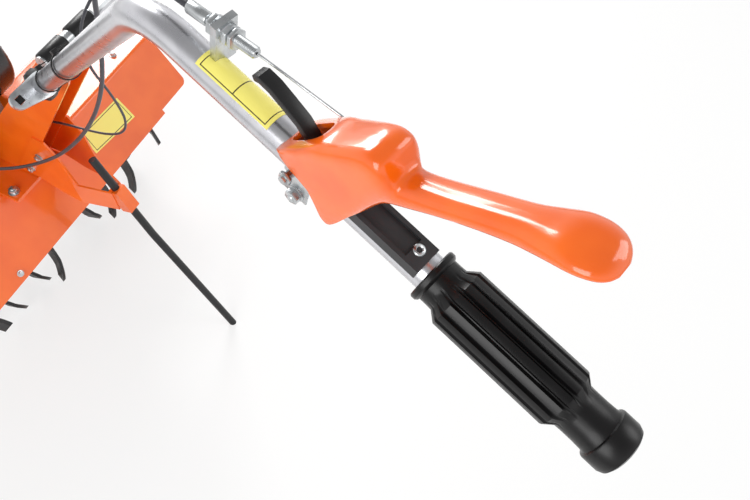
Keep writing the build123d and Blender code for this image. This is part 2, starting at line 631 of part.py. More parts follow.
def make_handle():
    foot, bend = Vector(ARM_FOOT), Vector(ARM_BEND)
    start = foot + (foot - bend).normalized() * TUBE
    points = (start, bend, grip_point(TUBE_END, 0))
    tube = pipe(points, TUBE / 2, ARM_BEND_RADIUS) - pipe(points, TUBE / 2 - TUBE_WALL, ARM_BEND_RADIUS)
    seat = Plane(origin=(ARM_FOOT[0], 0, ARM_FOOT[2]), x_dir=(0, 1, 0), z_dir=(-1, 0, 1))
    half_space = Box(4 * FOOT_HOLE_Y, 4 * TUBE, 4 * TUBE, align=(Align.CENTER, Align.CENTER, Align.MAX))
    tube -= seat * half_space
    add("arm_left", tube - pin_rod(LEVER_PIN, -TUBE, TUBE))
    add("arm_right", mirror(tube, about=Plane.XZ))

    eye = (FOOT_HOLE_Y, -FOOT_RISE)
    shoe_outline = (Pos(ARM_FOOT[1], 0) * Circle(FOOT_RADIUS)).edges()
    shoe_outline += (Pos(*eye) * Circle(FOOT_TONGUE)).edges()
    shoe = seat * extrude(make_face(make_hull(shoe_outline)), amount=-FOOT_SHEET)
    shoe -= seat * Pos(*eye, 0) * Box(FOOT_HOLE, FOOT_HOLE, 4 * FOOT_SHEET)
    add("arm_feet", pair(shoe))

    yoke_half = ARM_FOOT[1] + FOOT_RADIUS / 2
    yoke = seat * Pos(0, 0, -FOOT_SHEET - YOKE_SHEET / 2) * Box(2 * yoke_half, YOKE_DEEP, YOKE_SHEET)
    cheek_top = (ARM_FOOT[0] + YOKE_CHEEK_RISE[0], ARM_FOOT[2] - YOKE_CHEEK_RISE[1], YOKE_CHEEK)
    cheek = hull_plate(((PIVOT_X, PIVOT_Z, YOKE_CHEEK), cheek_top), COLUMN_HALF + YOKE_SHEET + YOKE_GAP)
    cheek -= outside_of(COLUMN_HALF + YOKE_GAP)
    cheek -= seat * Pos(0, 0, 4 * TUBE - FOOT_SHEET) * half_space
    yoke += cheek
    add("handle_yoke", yoke - bore_y(PIVOT_BOLT + RUN_GAP, PIVOT_X, PIVOT_Z))
    cross_at = Pos(0, -FOOT_RADIUS, CROSS_RADIUS - FOOT_SHEET)
    add("cross_bar", seat * cross_at * Rot(0, 90, 0) * Cylinder(CROSS_RADIUS, 2 * FOOT_INNER))

    cheek_face = COLUMN_HALF + YOKE_SHEET + YOKE_GAP
    bolt_end = cheek_face + KNOB_LONG / 2
    add("clamp_bolt", rod_y(PIVOT_BOLT, -bolt_end, bolt_end, PIVOT_X, PIVOT_Z))
    knob = rod_y(KNOB_RADIUS, cheek_face, cheek_face + KNOB_LONG, PIVOT_X, PIVOT_Z)
    add("clamp_knob", knob - rod_y(PIVOT_BOLT + RUN_GAP, 0, bolt_end + RUN_GAP, PIVOT_X, PIVOT_Z))

    grip = make_grip()
    add("grip_left", grip)
    add("grip_right", mirror(grip, about=Plane.XZ))


def make_grip():
    inside = TUBE / 2
    outline = Polyline(
        (GRIP_START, inside),
        (GRIP_START, GRIP_FLANGE),
        (GRIP_START + GRIP_FLANGE_LONG, GRIP_FLANGE),
        (GRIP_START + GRIP_FLANGE_LONG + 1, GRIP_NECK),
        (GRIP_BODY_START - GRIP_SLOPE, GRIP_NECK),
        (GRIP_BODY_START, GRIP_BODY),
        (GRIP_BODY_END, GRIP_BODY),
        (GRIP_BODY_END + GRIP_SLOPE, GRIP_NECK),
        (GRIP_END - GRIP_CAP_LONG - 2, GRIP_NECK + 0.5),
        (GRIP_END - GRIP_CAP_LONG, GRIP_CAP),
        (GRIP_END - 3, GRIP_CAP),
        (GRIP_END, GRIP_CAP - 3),
        (GRIP_END, 0),
        (TUBE_END, 0),
        (TUBE_END, inside),
        close=True,
    )
    frame = grip_plane()
    return revolve(frame * make_face(outline), axis=Axis(frame.origin, frame.x_dir))


def make_lever():
    lever = in_grip(LEVER_HEAD, -LEVER_OUTSIDE, LEVER_OUTSIDE)
    lever -= in_grip(LEVER_HOLLOW, -LEVER_INSIDE, LEVER_INSIDE)
    lever += in_grip(LEVER_ARM, -LEVER_ARM_HALF, LEVER_ARM_HALF)
    frame = grip_plane()
    rise = Vector(LEVER_ARM[3]) - Vector(LEVER_ARM[2])
    across = (frame.x_dir * -rise.Y + frame.y_dir * rise.X).normalized()
    middle = grip_point(*LEVER_END_PLACE)
    end = in_grip(LEVER_ARM, -LEVER_END_HALF, LEVER_END_HALF)
    lever += end & between(LEVER_END_RADIUS, middle - across * TUBE, middle + across * TUBE)
    lever -= grip_box(SLOT_START, SLOT_END, 10, 61, -CATCH_HALF - 1, CATCH_HALF + 1)
    add("clutch_lever", lever - pin_rod(LEVER_PIN + RUN_GAP, -TUBE, TUBE))
    add("lever_bolt", pin_rod(LEVER_PIN, -LEVER_OUTSIDE - 5, LEVER_OUTSIDE + 5))
    add("lock_catch", in_grip(CATCH, -CATCH_HALF, CATCH_HALF))

    tray = grip_box(TRAY_START, TRAY_END, TUBE / 4, TRAY_TOP, TRAY_RIGHT, TRAY_LEFT)
    well = (TRAY_START + TRAY_WALL, TRAY_END - 4 * TRAY_WALL)
    tray -= grip_box(*well, TUBE / 2 + 1, TRAY_TOP + 1, TRAY_RIGHT + TRAY_WALL, TRAY_LEFT - TRAY_WALL)
    add("lever_tray", tray - tube_rod(TUBE / 2, TRAY_START - 1, TRAY_END + 1))

    post_end = POST_START + POST_THICK
    post = grip_box(POST_START, post_end, TUBE / 4, POST_TOP, CABLE_SIDE - POST_HALF, CABLE_SIDE + POST_HALF)
    post -= tube_rod(TUBE / 2, POST_START - 1, POST_START + POST_THICK + 1)
    add("adjuster_post", post - between(BARREL_RADIUS, cable_point(0), cable_point(1)))
    barrel = between(BARREL_RADIUS, cable_point(0), cable_point(1))
    ferrule_share = FERRULE_LONG / (BARREL_AT[0] - FERRULE_AT[0])
    barrel += between(FERRULE_RADIUS, cable_point(0), cable_point(ferrule_share))
    add("adjuster_barrel", barrel)


def make_throttle():
    """The throttle control, made on the left arm and mirrored to the right."""
    box = grip_box(THROTTLE_START, THROTTLE_END, -TUBE / 4, THROTTLE_TOP, -THROTTLE_HALF, THROTTLE_HALF)
    box = fillet(box.faces().sort_by(Axis.Z)[-1].edges(), 3)
    box -= tube_rod(TUBE / 2, THROTTLE_START - 1, THROTTLE_END + 1)
    add("throttle_box", mirror(box, about=Plane.XZ))
    middle = (THROTTLE_START + THROTTLE_END) / 2
    inner = -THROTTLE_HALF
    disc = between(THROTTLE_LEVER_RADIUS, grip_point(middle, 12, inner), grip_point(middle, 12, inner - 7))
    disc += grip_box(middle - 7, middle + 3, 12, 44, inner - 7, inner)
    add("throttle_lever", mirror(disc, about=Plane.XZ))


# The routes of the cords, as points chosen by hand. The first run of each leaves its fitting straight.
CLUTCH_ROUTE = (
    tuple(cable_point(0)),
    tuple(cable_point(-0.6)),
    (-596.0, 136.0, 992.0), (-556.0, 116.0, 976.0),
    (-515.0, 95.0, 945.0), (-490.0, 82.0, 898.0), (-468.0, 72.0, 845.0), (-446.0, 65.0, 788.0),
    (-424.0, 61.0, 728.0), (-396.0, 60.0, 670.0), (-360.0, 60.0, 613.0), (-316.0, 60.0, 557.0),
    (-264.0, 61.0, 502.0), (-207.0, 64.0, 455.0), (-150.0, 72.0, 421.0), (-104.0, 80.0, 403.0),
    (-64.0, 86.0, 394.0),
)
THROTTLE_RIGHT = (
    (THROTTLE_START, 6.0, -17.5), (160.0, 6.0, -17.5), (112.0, 5.0, -18.0), (60.0, 6.0, -18.5),
)
THROTTLE_ROUTE = (
    *[right_grip_point(*place) for place in THROTTLE_RIGHT],
    (-632.0, -143.0, 980.0), (-596.0, -130.0, 962.0), (-560.0, -117.0, 929.0), (-522.0, -104.0, 890.0),
    (-484.0, -90.0, 852.0), (-445.0, -72.0, 820.0), (-408.0, -44.0, 797.0), (-376.0, -14.0, 770.0),
    (-354.0, 5.0, 733.0), (-341.0, 10.0, 692.0), (-336.0, 7.0, 650.0), (-334.0, -4.0, 607.0),
    (-329.0, -15.0, 563.0), (-326.0, -20.0, 523.0), (-311.0, -20.0, 490.0), (-280.0, -18.0, 471.0),
    (-240.0, -14.0, 465.0), (-198.0, -10.0, 463.0), (-156.0, -4.0, 456.0), (-110.0, 0.0, 446.0),
    (-56.0, 0.0, 423.0), (-20.0, 0.0, 400.0), (ENGINE_X - ENGINE_LONG / 2, 0.0, 400.0),
)


def make_cords():
    cord("clutch_cable", CLUTCH_ROUTE, CLUTCH_CABLE)
    cord("throttle_cable", THROTTLE_ROUTE, THROTTLE_CABLE)
    start = cable_point(1)
    end = grip_point(*WIRE_END, CABLE_SIDE)
    cord("clutch_wire", (start, cable_point(1.55), end), WIRE_RADIUS)


def make_all():
    make_rotor()
    make_guard()
    make_column()
    make_drag()
    make_wheel()
    make_engine()
    make_handle()
    make_lever()
    make_throttle()
    make_cords()


make_all()
boxes = [shape.bounding_box() for shape in pieces.values()]
MIDDLE_X = (min(box.min.X for box in boxes) + max(box.max.X for box in boxes)) / 2

if __name__ == "__main__":
    os.makedirs("parts", exist_ok=True)
    for name, shape in pieces.items():
        export_step(Pos(-MIDDLE_X, 0, 0) * shape, f"parts/{name}.step")
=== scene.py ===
# %% [markdown]
# A walk-behind petrol tiller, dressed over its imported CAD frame.
# Painted sheet, steel tube, zinc fittings, rubber grips and a dipped lever are each a finish of their own.
# The CAD pieces keep their places. What they are too plain for is modelled here and rides on their bodies.

# %% Load the frame
import math

import bmesh
import bpy
from mathutils import Matrix, Vector


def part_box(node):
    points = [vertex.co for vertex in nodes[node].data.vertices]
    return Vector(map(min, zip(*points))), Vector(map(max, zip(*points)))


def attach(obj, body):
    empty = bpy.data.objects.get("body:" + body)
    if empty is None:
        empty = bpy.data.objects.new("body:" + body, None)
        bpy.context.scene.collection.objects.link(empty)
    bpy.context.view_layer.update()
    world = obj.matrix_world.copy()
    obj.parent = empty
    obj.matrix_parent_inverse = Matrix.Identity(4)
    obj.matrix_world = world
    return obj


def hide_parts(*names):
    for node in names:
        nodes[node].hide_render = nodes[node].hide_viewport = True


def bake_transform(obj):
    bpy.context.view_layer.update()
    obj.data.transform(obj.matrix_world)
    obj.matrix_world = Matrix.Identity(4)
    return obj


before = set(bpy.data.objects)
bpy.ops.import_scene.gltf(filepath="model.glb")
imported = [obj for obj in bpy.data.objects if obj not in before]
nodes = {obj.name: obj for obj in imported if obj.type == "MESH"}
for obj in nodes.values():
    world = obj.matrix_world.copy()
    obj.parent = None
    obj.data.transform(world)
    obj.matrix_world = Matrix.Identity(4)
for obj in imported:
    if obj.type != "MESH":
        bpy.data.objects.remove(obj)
scene = bpy.context.scene
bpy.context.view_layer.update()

# %% [markdown]
# The part's source measures in millimetres from near the tine shaft, and the frame from its middle.
# The shaft's own box gives the shift between the two, so every place below is written as a workshop would.

# %% Places on the machine
MM = 0.001
AXLE_X, AXLE_Z = 15.0, 150.0
shaft_low, shaft_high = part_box("rotor_shaft")
SHIFT = (shaft_low[0] + shaft_high[0]) / 2 - AXLE_X * MM


def at(x, y, z):
    """A place in millimetres on the machine, as a point in the row frame."""
    return Vector((x * MM + SHIFT, y * MM, z * MM))


def local_frame(origin, x_dir, z_dir):
    """Millimetres on a piece's own axes, as a matrix to the row frame."""
    x_dir = x_dir.normalized()
    y_dir = z_dir.cross(x_dir).normalized()
    z_dir = x_dir.cross(y_dir)
    matrix = Matrix((x_dir, y_dir, z_dir)).transposed().to_4x4()
    return Matrix.Translation(origin) @ matrix @ Matrix.Scale(MM, 4)


# The left arm in mm: the middle of its foot, the corner of its bend, and a point on its grip.
FOOT_POINT, BEND_POINT = Vector((-317, 62, 667)), Vector((-624, 164, 975))
END_POINT = Vector((-1010, 268, 868))
ARM_FOOT, ARM_BEND, ARM_END = at(*FOOT_POINT), at(*BEND_POINT), at(*END_POINT)
TUBE_RADIUS = 12.5
along_grip = (ARM_END - ARM_BEND).normalized()
left_of_grip = Vector((along_grip.y, -along_grip.x, 0)).normalized()
GRIP = local_frame(ARM_BEND, along_grip, left_of_grip)
LEG = local_frame(ARM_FOOT, ARM_BEND - ARM_FOOT, left_of_grip)
MACHINE = Matrix.Translation(at(0, 0, 0)) @ Matrix.Scale(MM, 4)
MIRROR = Matrix.Scale(-1, 4, (0, 1, 0))
print("shift", round(SHIFT, 4), "grip starts at", tuple(round(value, 3) for value in ARM_BEND))

# %% [markdown]
# The camera stands where the photograph was taken: behind the left grip, high up, looking forward and down.
# Its place and its lens were fitted to the photograph with the handle tube's 25 mm as the scale.

# %% Camera
CAMERA_AT = at(-924.6, 443.4, 1301.4)
HEADING, PITCH_DOWN, ROLL = math.radians(-65.01), math.radians(58.81), math.radians(1.02)
FOCAL_PIXELS, PHOTO_WIDE = 733.6, 750
camera_data = bpy.data.cameras.new("camera")
camera_data.sensor_width = 36.0
camera_data.lens = FOCAL_PIXELS / PHOTO_WIDE * camera_data.sensor_width
camera_data.clip_start = 0.05
camera = bpy.data.objects.new("camera", camera_data)
turn = Matrix.Rotation(HEADING - math.pi / 2, 4, "Z") @ Matrix.Rotation(math.pi / 2 - PITCH_DOWN, 4, "X")
camera.matrix_world = Matrix.Translation(CAMERA_AT) @ turn @ Matrix.Rotation(ROLL, 4, "Z")
scene.collection.objects.link(camera)
scene.camera = camera
scene.view_settings.view_transform = "Standard"
print("lens", round(camera_data.lens, 2))

# %% [markdown]
# A material here is a Principled shader with its pattern fed in. Its nodes could be wired by hand in the
# editor, but one helper that adds a node with its settings and links keeps every tree short and alike.
# Hex colours are what a display shows, so another helper turns them to the linear values that light needs.

# %% Helpers for materials


def hex_color(text):
    """An sRGB hex value as linear red, green, blue and alpha."""
    values = [int(text[place:place + 2], 16) / 255 for place in (1, 3, 5)]
    linear = [value / 12.92 if value <= 0.04045 else ((value + 0.055) / 1.055) ** 2.4 for value in values]
    return linear + [1.0]


def add_node(tree, kind, inputs=(), stops=(), **settings):
    """Adds one node. inputs pairs a socket with a value or an output, and stops are (place, hex colour)."""
    node = tree.nodes.new(kind)
    for key, value in settings.items():
        setattr(node, key, value)
    for socket, value in dict(inputs).items():
        if isinstance(value, bpy.types.NodeSocket):
            tree.links.new(value, node.inputs[socket])
        else:
            node.inputs[socket].default_value = value
    for index, (position, color) in enumerate(stops):
        element = node.color_ramp.elements[index]
        element.position, element.color = position, hex_color(color)
    return node


def new_material(name):
    """An empty material, its tree, and a Texture Coordinate node's Object output."""
    material = bpy.data.materials.new(name)
    material.use_nodes = True
    material.node_tree.nodes.clear()
    place = add_node(material.node_tree, "ShaderNodeTexCoord").outputs["Object"]
    return material, material.node_tree, place


def close_material(tree, inputs, surface=None):
    """Ends a tree in a Principled shader and its output."""
    shader = surface or add_node(tree, "ShaderNodeBsdfPrincipled", inputs)
    add_node(tree, "ShaderNodeOutputMaterial", {"Surface": shader.outputs[0]})


print("middle grey in linear light", round(hex_color("#808080")[0], 3))

# %% [markdown]
# No real surface has one tone. Paint, zinc and rubber all wander a little in patches a few centimetres wide,
# and their gloss wanders too, which breaks up a highlight. One function makes such a finish from the real
# sizes of its patches and its grain in millimetres, and the groups below only say how they differ.

# %% Patterned finish
TONE_PLACES = (0.35, 0.65)
GLOSS_FROM, GLOSS_TO = 0.3, 0.7


def patterned(name, tones, patch_mm, gloss_mm, roughness, relief, surface):
    """Two tones and two roughnesses in soft patches. relief holds (grain mm, depth mm, share, detail)."""
    material, tree, place = new_material(name)
    patches, gloss = (
        add_node(tree, "ShaderNodeTexNoise", {"Vector": place, "Scale": 1 / (size * MM)}).outputs["Fac"]
        for size in (patch_mm, gloss_mm)
    )
    color = add_node(tree, "ShaderNodeValToRGB", {"Fac": patches}, zip(TONE_PLACES, tones))
    reach = {"From Min": GLOSS_FROM, "From Max": GLOSS_TO, "To Min": roughness[0], "To Max": roughness[1]}
    rough = add_node(tree, "ShaderNodeMapRange", {"Value": gloss, **reach})
    inputs = {"Base Color": color.outputs["Color"], "Roughness": rough.outputs["Result"], **surface}
    for grain_mm, depth_mm, share, detail in relief:
        sizes = {"Vector": place, "Scale": 1 / (grain_mm * MM), "Detail": detail}
        height = add_node(tree, "ShaderNodeTexNoise", sizes).outputs["Fac"]
        bumped = {"Height": height, "Distance": depth_mm * MM, "Strength": share}
        if "Normal" in inputs:
            bumped["Normal"] = inputs["Normal"]
        inputs["Normal"] = add_node(tree, "ShaderNodeBump", bumped).outputs["Normal"]
    close_material(tree, inputs)
    return material


print("patches of 60 mm need a noise scale of", round(1 / (60 * MM), 1))

# %% [markdown]
# Powder-coated steel is sprayed dry and melted on, which leaves a faint orange peel: shallow dimples a few
# millimetres across under a glossy skin. The guard's orange sheet is glossy enough to mirror the studio's
# lamps, so it gets a coat layer. The dimples are drawn a little deeper than they are, so that they show.

# %% Painted finishes
PAINT_PATCH, PAINT_GLOSS, PEEL_DEPTH, PEEL_SHARE = 60, 25, 0.05, 0.15


def powder_coat(name, dark, light, roughness, peel_mm=3.0, coat=0.0):
    relief = ((peel_mm, PEEL_DEPTH, PEEL_SHARE, 2),)
    surface = {"IOR": 1.5, "Coat Weight": coat, "Coat Roughness": 0.06}
    limits = (roughness - 0.04, roughness + 0.05)
    return patterned(name, (dark, light), PAINT_PATCH, PAINT_GLOSS, limits, relief, surface)


orange_powder_coat = powder_coat("orange_powder_coated_steel", "#EE620A", "#F66C12", 0.32, coat=0.7)
black_powder_coat = powder_coat("black_powder_coated_steel", "#17181A", "#1F2022", 0.42)
tine_enamel = powder_coat("black_dipped_tine_steel", "#141516", "#222326", 0.38, peel_mm=5.0)
stake_enamel = powder_coat("dark_grey_enamelled_bar", "#121214", "#1A1A1D", 0.42)
print("painted finishes", len(bpy.data.materials))

# %% [markdown]
# Galvanised fittings are bright, slightly blue zinc, with a fine drawn grain and duller patches. The arms'
# silver lacquer is smoother, so it has no relief at all. Cast aluminium on the engine is coarser: a sand-cast
# skin with grains about a millimetre wide. A drawn grain is finer than a pixel here, so it is drawn coarser.

# %% Bare metals
METAL_PATCH, GRAIN_SHARE = 12, 0.5


def bare_metal(name, dark, light, roughness, wear=0.07, grain_mm=0.0, depth_mm=0.0):
    relief = ((grain_mm, depth_mm, GRAIN_SHARE, 2),) if depth_mm else ()
    limits = (roughness - wear, roughness + wear)
    return patterned(name, (dark, light), METAL_PATCH, METAL_PATCH, limits, relief, {"Metallic": 1.0})


bright_zinc = bare_metal("bright_zinc_plated_steel", "#B4B7B9", "#D2D5D7", 0.3, 0.07, 0.8, 0.015)
silver_lacquer = bare_metal("silver_lacquered_tube", "#CDCDD2", "#D6D6DA", 0.28, 0.01)
bare_wire = bare_metal("bare_spring_steel_wire", "#C9CBCD", "#DADCDE", 0.3, 0.07, 0.5, 0.01)
dull_zinc = bare_metal("dull_zinc_plated_nipple", "#7E8082", "#9A9C9E", 0.34, 0.07, 0.8, 0.02)
cast_aluminium = bare_metal("sand_cast_aluminium", "#8E9092", "#A7A9AB", 0.5, 0.07, 1.2, 0.12)
exhaust_steel = bare_metal("heat_dulled_exhaust_steel", "#5C5854", "#77726C", 0.48, 0.07, 2.0, 0.05)
print("finishes with the metals", len(bpy.data.materials))

# %% [markdown]
# Moulded plastics are smooth with a fine spark-eroded grain from the mould. The grips are a softer rubber
# with almost none. The lever is dipped in soft vinyl: a thick glossy skin with soft waves, 22 mm long, where
# it ran while it cured. The mould's grain is finer than a pixel, so it is drawn as coarse as 0.7 mm.

# %% Plastics and rubber
PLASTIC_PATCH, DIP_WAVE = 30, 22


def moulded(name, dark, light, roughness, grain=(0.7, 0.03), coat=0.0, waves_mm=0.0, ior=1.49):
    relief = [(*grain, GRAIN_SHARE, 2)]
    if waves_mm:
        relief.append((DIP_WAVE, waves_mm, GRAIN_SHARE, 0))
    surface = {"IOR": ior, "Coat Weight": coat, "Coat Roughness": 0.05}
    limits = (roughness - 0.04, roughness + 0.05)
    return patterned(name, (dark, light), PLASTIC_PATCH, PLASTIC_PATCH, limits, relief, surface)


black_plastic = moulded("black_moulded_polypropylene", "#0E0E0F", "#171718", 0.4, ior=1.45)
shroud_plastic = moulded("black_glossy_engine_cover", "#121213", "#1B1B1D", 0.28, coat=0.3)
tray_plastic = moulded("worn_black_tray_plastic", "#232325", "#303033", 0.5)
grip_rubber = moulded("black_grip_rubber", "#080708", "#0F0E0F", 0.3, (1.2, 0.008), ior=1.38)
cable_sleeve = moulded("dark_grey_cable_sleeve", "#33333A", "#45454B", 0.4)
tyre_rubber = moulded("black_tyre_rubber", "#17171A", "#222225", 0.62, (1.5, 0.06))
dipped_vinyl = moulded("orange_dipped_vinyl", "#F06004", "#F76A0C", 0.16, (6.0, 0.01), 0.6, 0.25)
print("finishes with the plastics", len(bpy.data.materials))

# %% [markdown]
# Most pieces are right as the CAD gives them and need only their finish, set by assignment.
# A short table of finishes and node names is easier to check than forty separate lines.

# %% Finishes of the CAD nodes
finishes = {
    orange_powder_coat: ("tine_guard", "guard_wings", "handle_column", "drag_bracket", "chassis_plate"),
    black_powder_coat: ("chain_case", "wheel_mount", "wheel_fork", "muffler"),
    tine_enamel: ("reel_left", "reel_right"),
    stake_enamel: ("drag_stake",),
    silver_lacquer: ("arm_left", "arm_right"),
    bright_zinc: (
        "arm_feet", "cross_bar", "clamp_bolt", "fork_bolt", "wheel_axle", "rotor_shaft", "lever_bolt",
        "adjuster_post", "adjuster_barrel", "handle_yoke",
    ),
    bare_wire: ("clutch_wire",),
    cast_aluminium: ("engine_block", "engine_cylinder"),
    shroud_plastic: ("engine_shroud", "fuel_tank", "belt_cover", "air_filter"),
    black_plastic: (
        "recoil_starter", "pull_handle", "tank_cap", "clamp_knob", "lock_catch", "throttle_box",
        "throttle_lever", "wheel_rim",
    ),
    tray_plastic: ("lever_tray",),
    grip_rubber: ("grip_left", "grip_right"),
    dipped_vinyl: ("clutch_lever",),
    cable_sleeve: ("clutch_cable", "throttle_cable"),
    tyre_rubber: ("wheel_tyre",),
}
for material, names in finishes.items():
    for name in names:
        nodes[name].data.materials.clear()
        nodes[name].data.materials.append(material)
missing = set(nodes) - {name for names in finishes.values() for name in names}
print("nodes without a finish:", sorted(missing))

# %% [markdown]
# A new piece is drawn in millimetres on the axes of what it sits on, then carried to its place in its mesh.
# A mirrored copy would be inside out, so its faces are turned round. Boxes, spun profiles, hexagons and rods
# come up on nearly every fitting, so each has a helper that calls the operator for it.

# %% Helpers for pieces
SHARP = math.radians(38)


def make_piece(name, shape, body, material, matrix=MACHINE, replaces=()):
    """Puts a bmesh in place and links it, shaded smooth between sharp edges."""
    shape.transform(matrix)
    if matrix.determinant() < 0:
        bmesh.ops.reverse_faces(shape, faces=shape.faces)
    mesh = bpy.data.meshes.new(name)
    shape.to_mesh(mesh)
    shape.free()
    mesh.materials.append(material)
    mesh.polygons.foreach_set("use_smooth", [True] * len(mesh.polygons))
    mesh.set_sharp_from_angle(angle=SHARP)
    piece = bpy.data.objects.new(name, mesh)
    scene.collection.objects.link(piece)
    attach(piece, body)
    if replaces:
        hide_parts(*replaces)
    return piece


def round_edges(shape, edges, width):
    bmesh.ops.bevel(
        shape, geom=list(edges), offset=width, segments=2, affect="EDGES", profile=0.5, material=-1,
        clamp_overlap=True,
    )


def block(shape, size, place, bevel, turn=Matrix.Identity(4)):
    """Adds a bevelled box of that size, centred on a place."""
    matrix = Matrix.Translation(place) @ turn @ Matrix.Diagonal((*size, 1))
    made = bmesh.ops.create_cube(shape, size=1, matrix=matrix)
    round_edges(shape, {edge for vert in made["verts"] for edge in vert.link_edges}, bevel)


def lathe(shape, profile, steps=48, axis=(1, 0, 0), centre=(0, 0, 0)):
    """Spins a profile of (distance along, radius) once round an axis through a centre."""
    axis = Vector(axis).normalized()
    side = axis.orthogonal().normalized()
    verts = [shape.verts.new(Vector(centre) + axis * along + side * radius) for along, radius in profile]
    edges = [shape.edges.new(pair) for pair in zip(verts, verts[1:])]
    bmesh.ops.spin(
        shape, geom=verts + edges, cent=centre, axis=axis, dvec=(0, 0, 0), angle=2 * math.pi, steps=steps,
        use_merge=True, use_duplicate=False,
    )
    bmesh.ops.remove_doubles(shape, verts=shape.verts, dist=0.001)
    bmesh.ops.recalc_face_normals(shape, faces=shape.faces)


def hexagon(shape, across, thick, place, axis=(0, 0, 1), dome=0.0):
    """Adds a hexagon nut or bolt head, its corners chamfered, with a domed end if asked."""
    turn = Vector((0, 0, 1)).rotation_difference(Vector(axis)).to_matrix().to_4x4()
    matrix = Matrix.Translation(Vector(place)) @ turn
    radius = across / math.sqrt(3)
    made = bmesh.ops.create_cone(
        shape, cap_ends=True, segments=6, radius1=radius, radius2=radius, depth=thick,
        matrix=matrix @ Matrix.Translation((0, 0, thick / 2)),
    )
    round_edges(shape, {edge for vert in made["verts"] for edge in vert.link_edges}, across * 0.06)
    if dome:
        bmesh.ops.create_uvsphere(
            shape, u_segments=16, v_segments=8, radius=across * 0.3,
            matrix=matrix @ Matrix.Translation((0, 0, thick)) @ Matrix.Diagonal((1, 1, dome, 1)),
        )


def rod(shape, radius, start, end, bevel=0.0, segments=24):
    """Adds a closed round bar from one point to another."""
    start, end = Vector(start), Vector(end)
    turn = Vector((0, 0, 1)).rotation_difference(end - start).to_matrix().to_4x4()
    made = bmesh.ops.create_cone(
        shape, cap_ends=True, segments=segments, radius1=radius, radius2=radius, depth=(end - start).length,
        matrix=Matrix.Translation((start + end) / 2) @ turn,
    )
    if bevel:
        caps = {face for vert in made["verts"] for face in vert.link_faces if len(face.verts) > 4}
        round_edges(shape, {edge for face in caps for edge in face.edges}, bevel)


print("edges over", round(math.degrees(SHARP)), "degrees are shaded sharp")

# %% [markdown]
# The arms are round tube, bent once on a mandrel and lacquered. The CAD tube's facets break its long
# highlight, so a circle of 64 points is drawn out along the leg, spun round the bend and drawn out again
# along the grip. The lower end is sawn off flush with the foot that it is welded to.

# %% Handle arms
TUBE_AROUND, BEND_STEPS, BEND_RADIUS = 64, 28, 66.0
TUBE_BELOW, TUBE_LONG = 25.0, 400.0
SEAT_POINT, SEAT_NORMAL = Vector((FOOT_POINT.x, 0, FOOT_POINT.z)), Vector((-1, 0, 1)).normalized()


def draw_out(shape, edges, way):
    """Extrudes an open ring of edges along a vector, and gives the new ring."""
    made = bmesh.ops.extrude_edge_only(shape, edges=edges)["geom"]
    bmesh.ops.translate(shape, verts=[item for item in made if isinstance(item, bmesh.types.BMVert)], vec=way)
    return [item for item in made if isinstance(item, bmesh.types.BMEdge) and item.is_boundary]


def arm_shape():
    """The left arm's tube, from below the foot to inside the grip."""
    leg_way, grip_way = (BEND_POINT - FOOT_POINT).normalized(), (END_POINT - BEND_POINT).normalized()
    across = leg_way.cross(grip_way).normalized()
    inward, bend_angle = across.cross(leg_way), leg_way.angle(grip_way)
    reach = BEND_RADIUS * math.tan(bend_angle / 2)
    start, bend_start = FOOT_POINT - leg_way * TUBE_BELOW, BEND_POINT - leg_way * reach
    facing = Matrix((inward, across, leg_way)).transposed().to_4x4()
    shape = bmesh.new()
    bmesh.ops.create_circle(
        shape, segments=TUBE_AROUND, radius=TUBE_RADIUS, matrix=Matrix.Translation(start) @ facing
    )
    ring = draw_out(shape, shape.edges[:], bend_start - start)
    verts = list({vert for edge in ring for vert in edge.verts})
    spun = bmesh.ops.spin(
        shape, geom=verts + ring, cent=bend_start + inward * BEND_RADIUS, axis=across, dvec=(0, 0, 0),
        angle=bend_angle, steps=BEND_STEPS, use_merge=False, use_duplicate=False,
    )
    ring = [item for item in spun["geom_last"] if isinstance(item, bmesh.types.BMEdge)]
    draw_out(shape, ring, grip_way * (TUBE_LONG - reach))
    geometry = shape.verts[:] + shape.edges[:] + shape.faces[:]
    bmesh.ops.bisect_plane(shape, geom=geometry, plane_co=SEAT_POINT, plane_no=SEAT_NORMAL, clear_inner=True)
    bmesh.ops.holes_fill(shape, edges=[edge for edge in shape.edges if edge.is_boundary], sides=0)
    bmesh.ops.recalc_face_normals(shape, faces=shape.faces)
    return shape


for side, matrix in (("left", MACHINE), ("right", MIRROR @ MACHINE)):
    arm = make_piece(f"lacquered_arm_{side}", arm_shape(), "handle", silver_lacquer, matrix, (f"arm_{side}",))
print("arm faces", len(arm.data.polygons))

# %% [markdown]
# The clutch lever is pressed steel: a hood that straddles the tube, drawn out into a rounded arm with a
# bulb at its end, and dipped. Its form is held by cross-sections. Each one is given by its crest, by the
# lower edge of its cheeks, by its half width, and by how far it has turned from a hood into a closed bar.
# A grid is laid through them on smooth curves, so the outlines pass through the places that were measured.

# %% Clutch lever
LEVER_WALL, LEVER_RIM = 3.0, 1.3
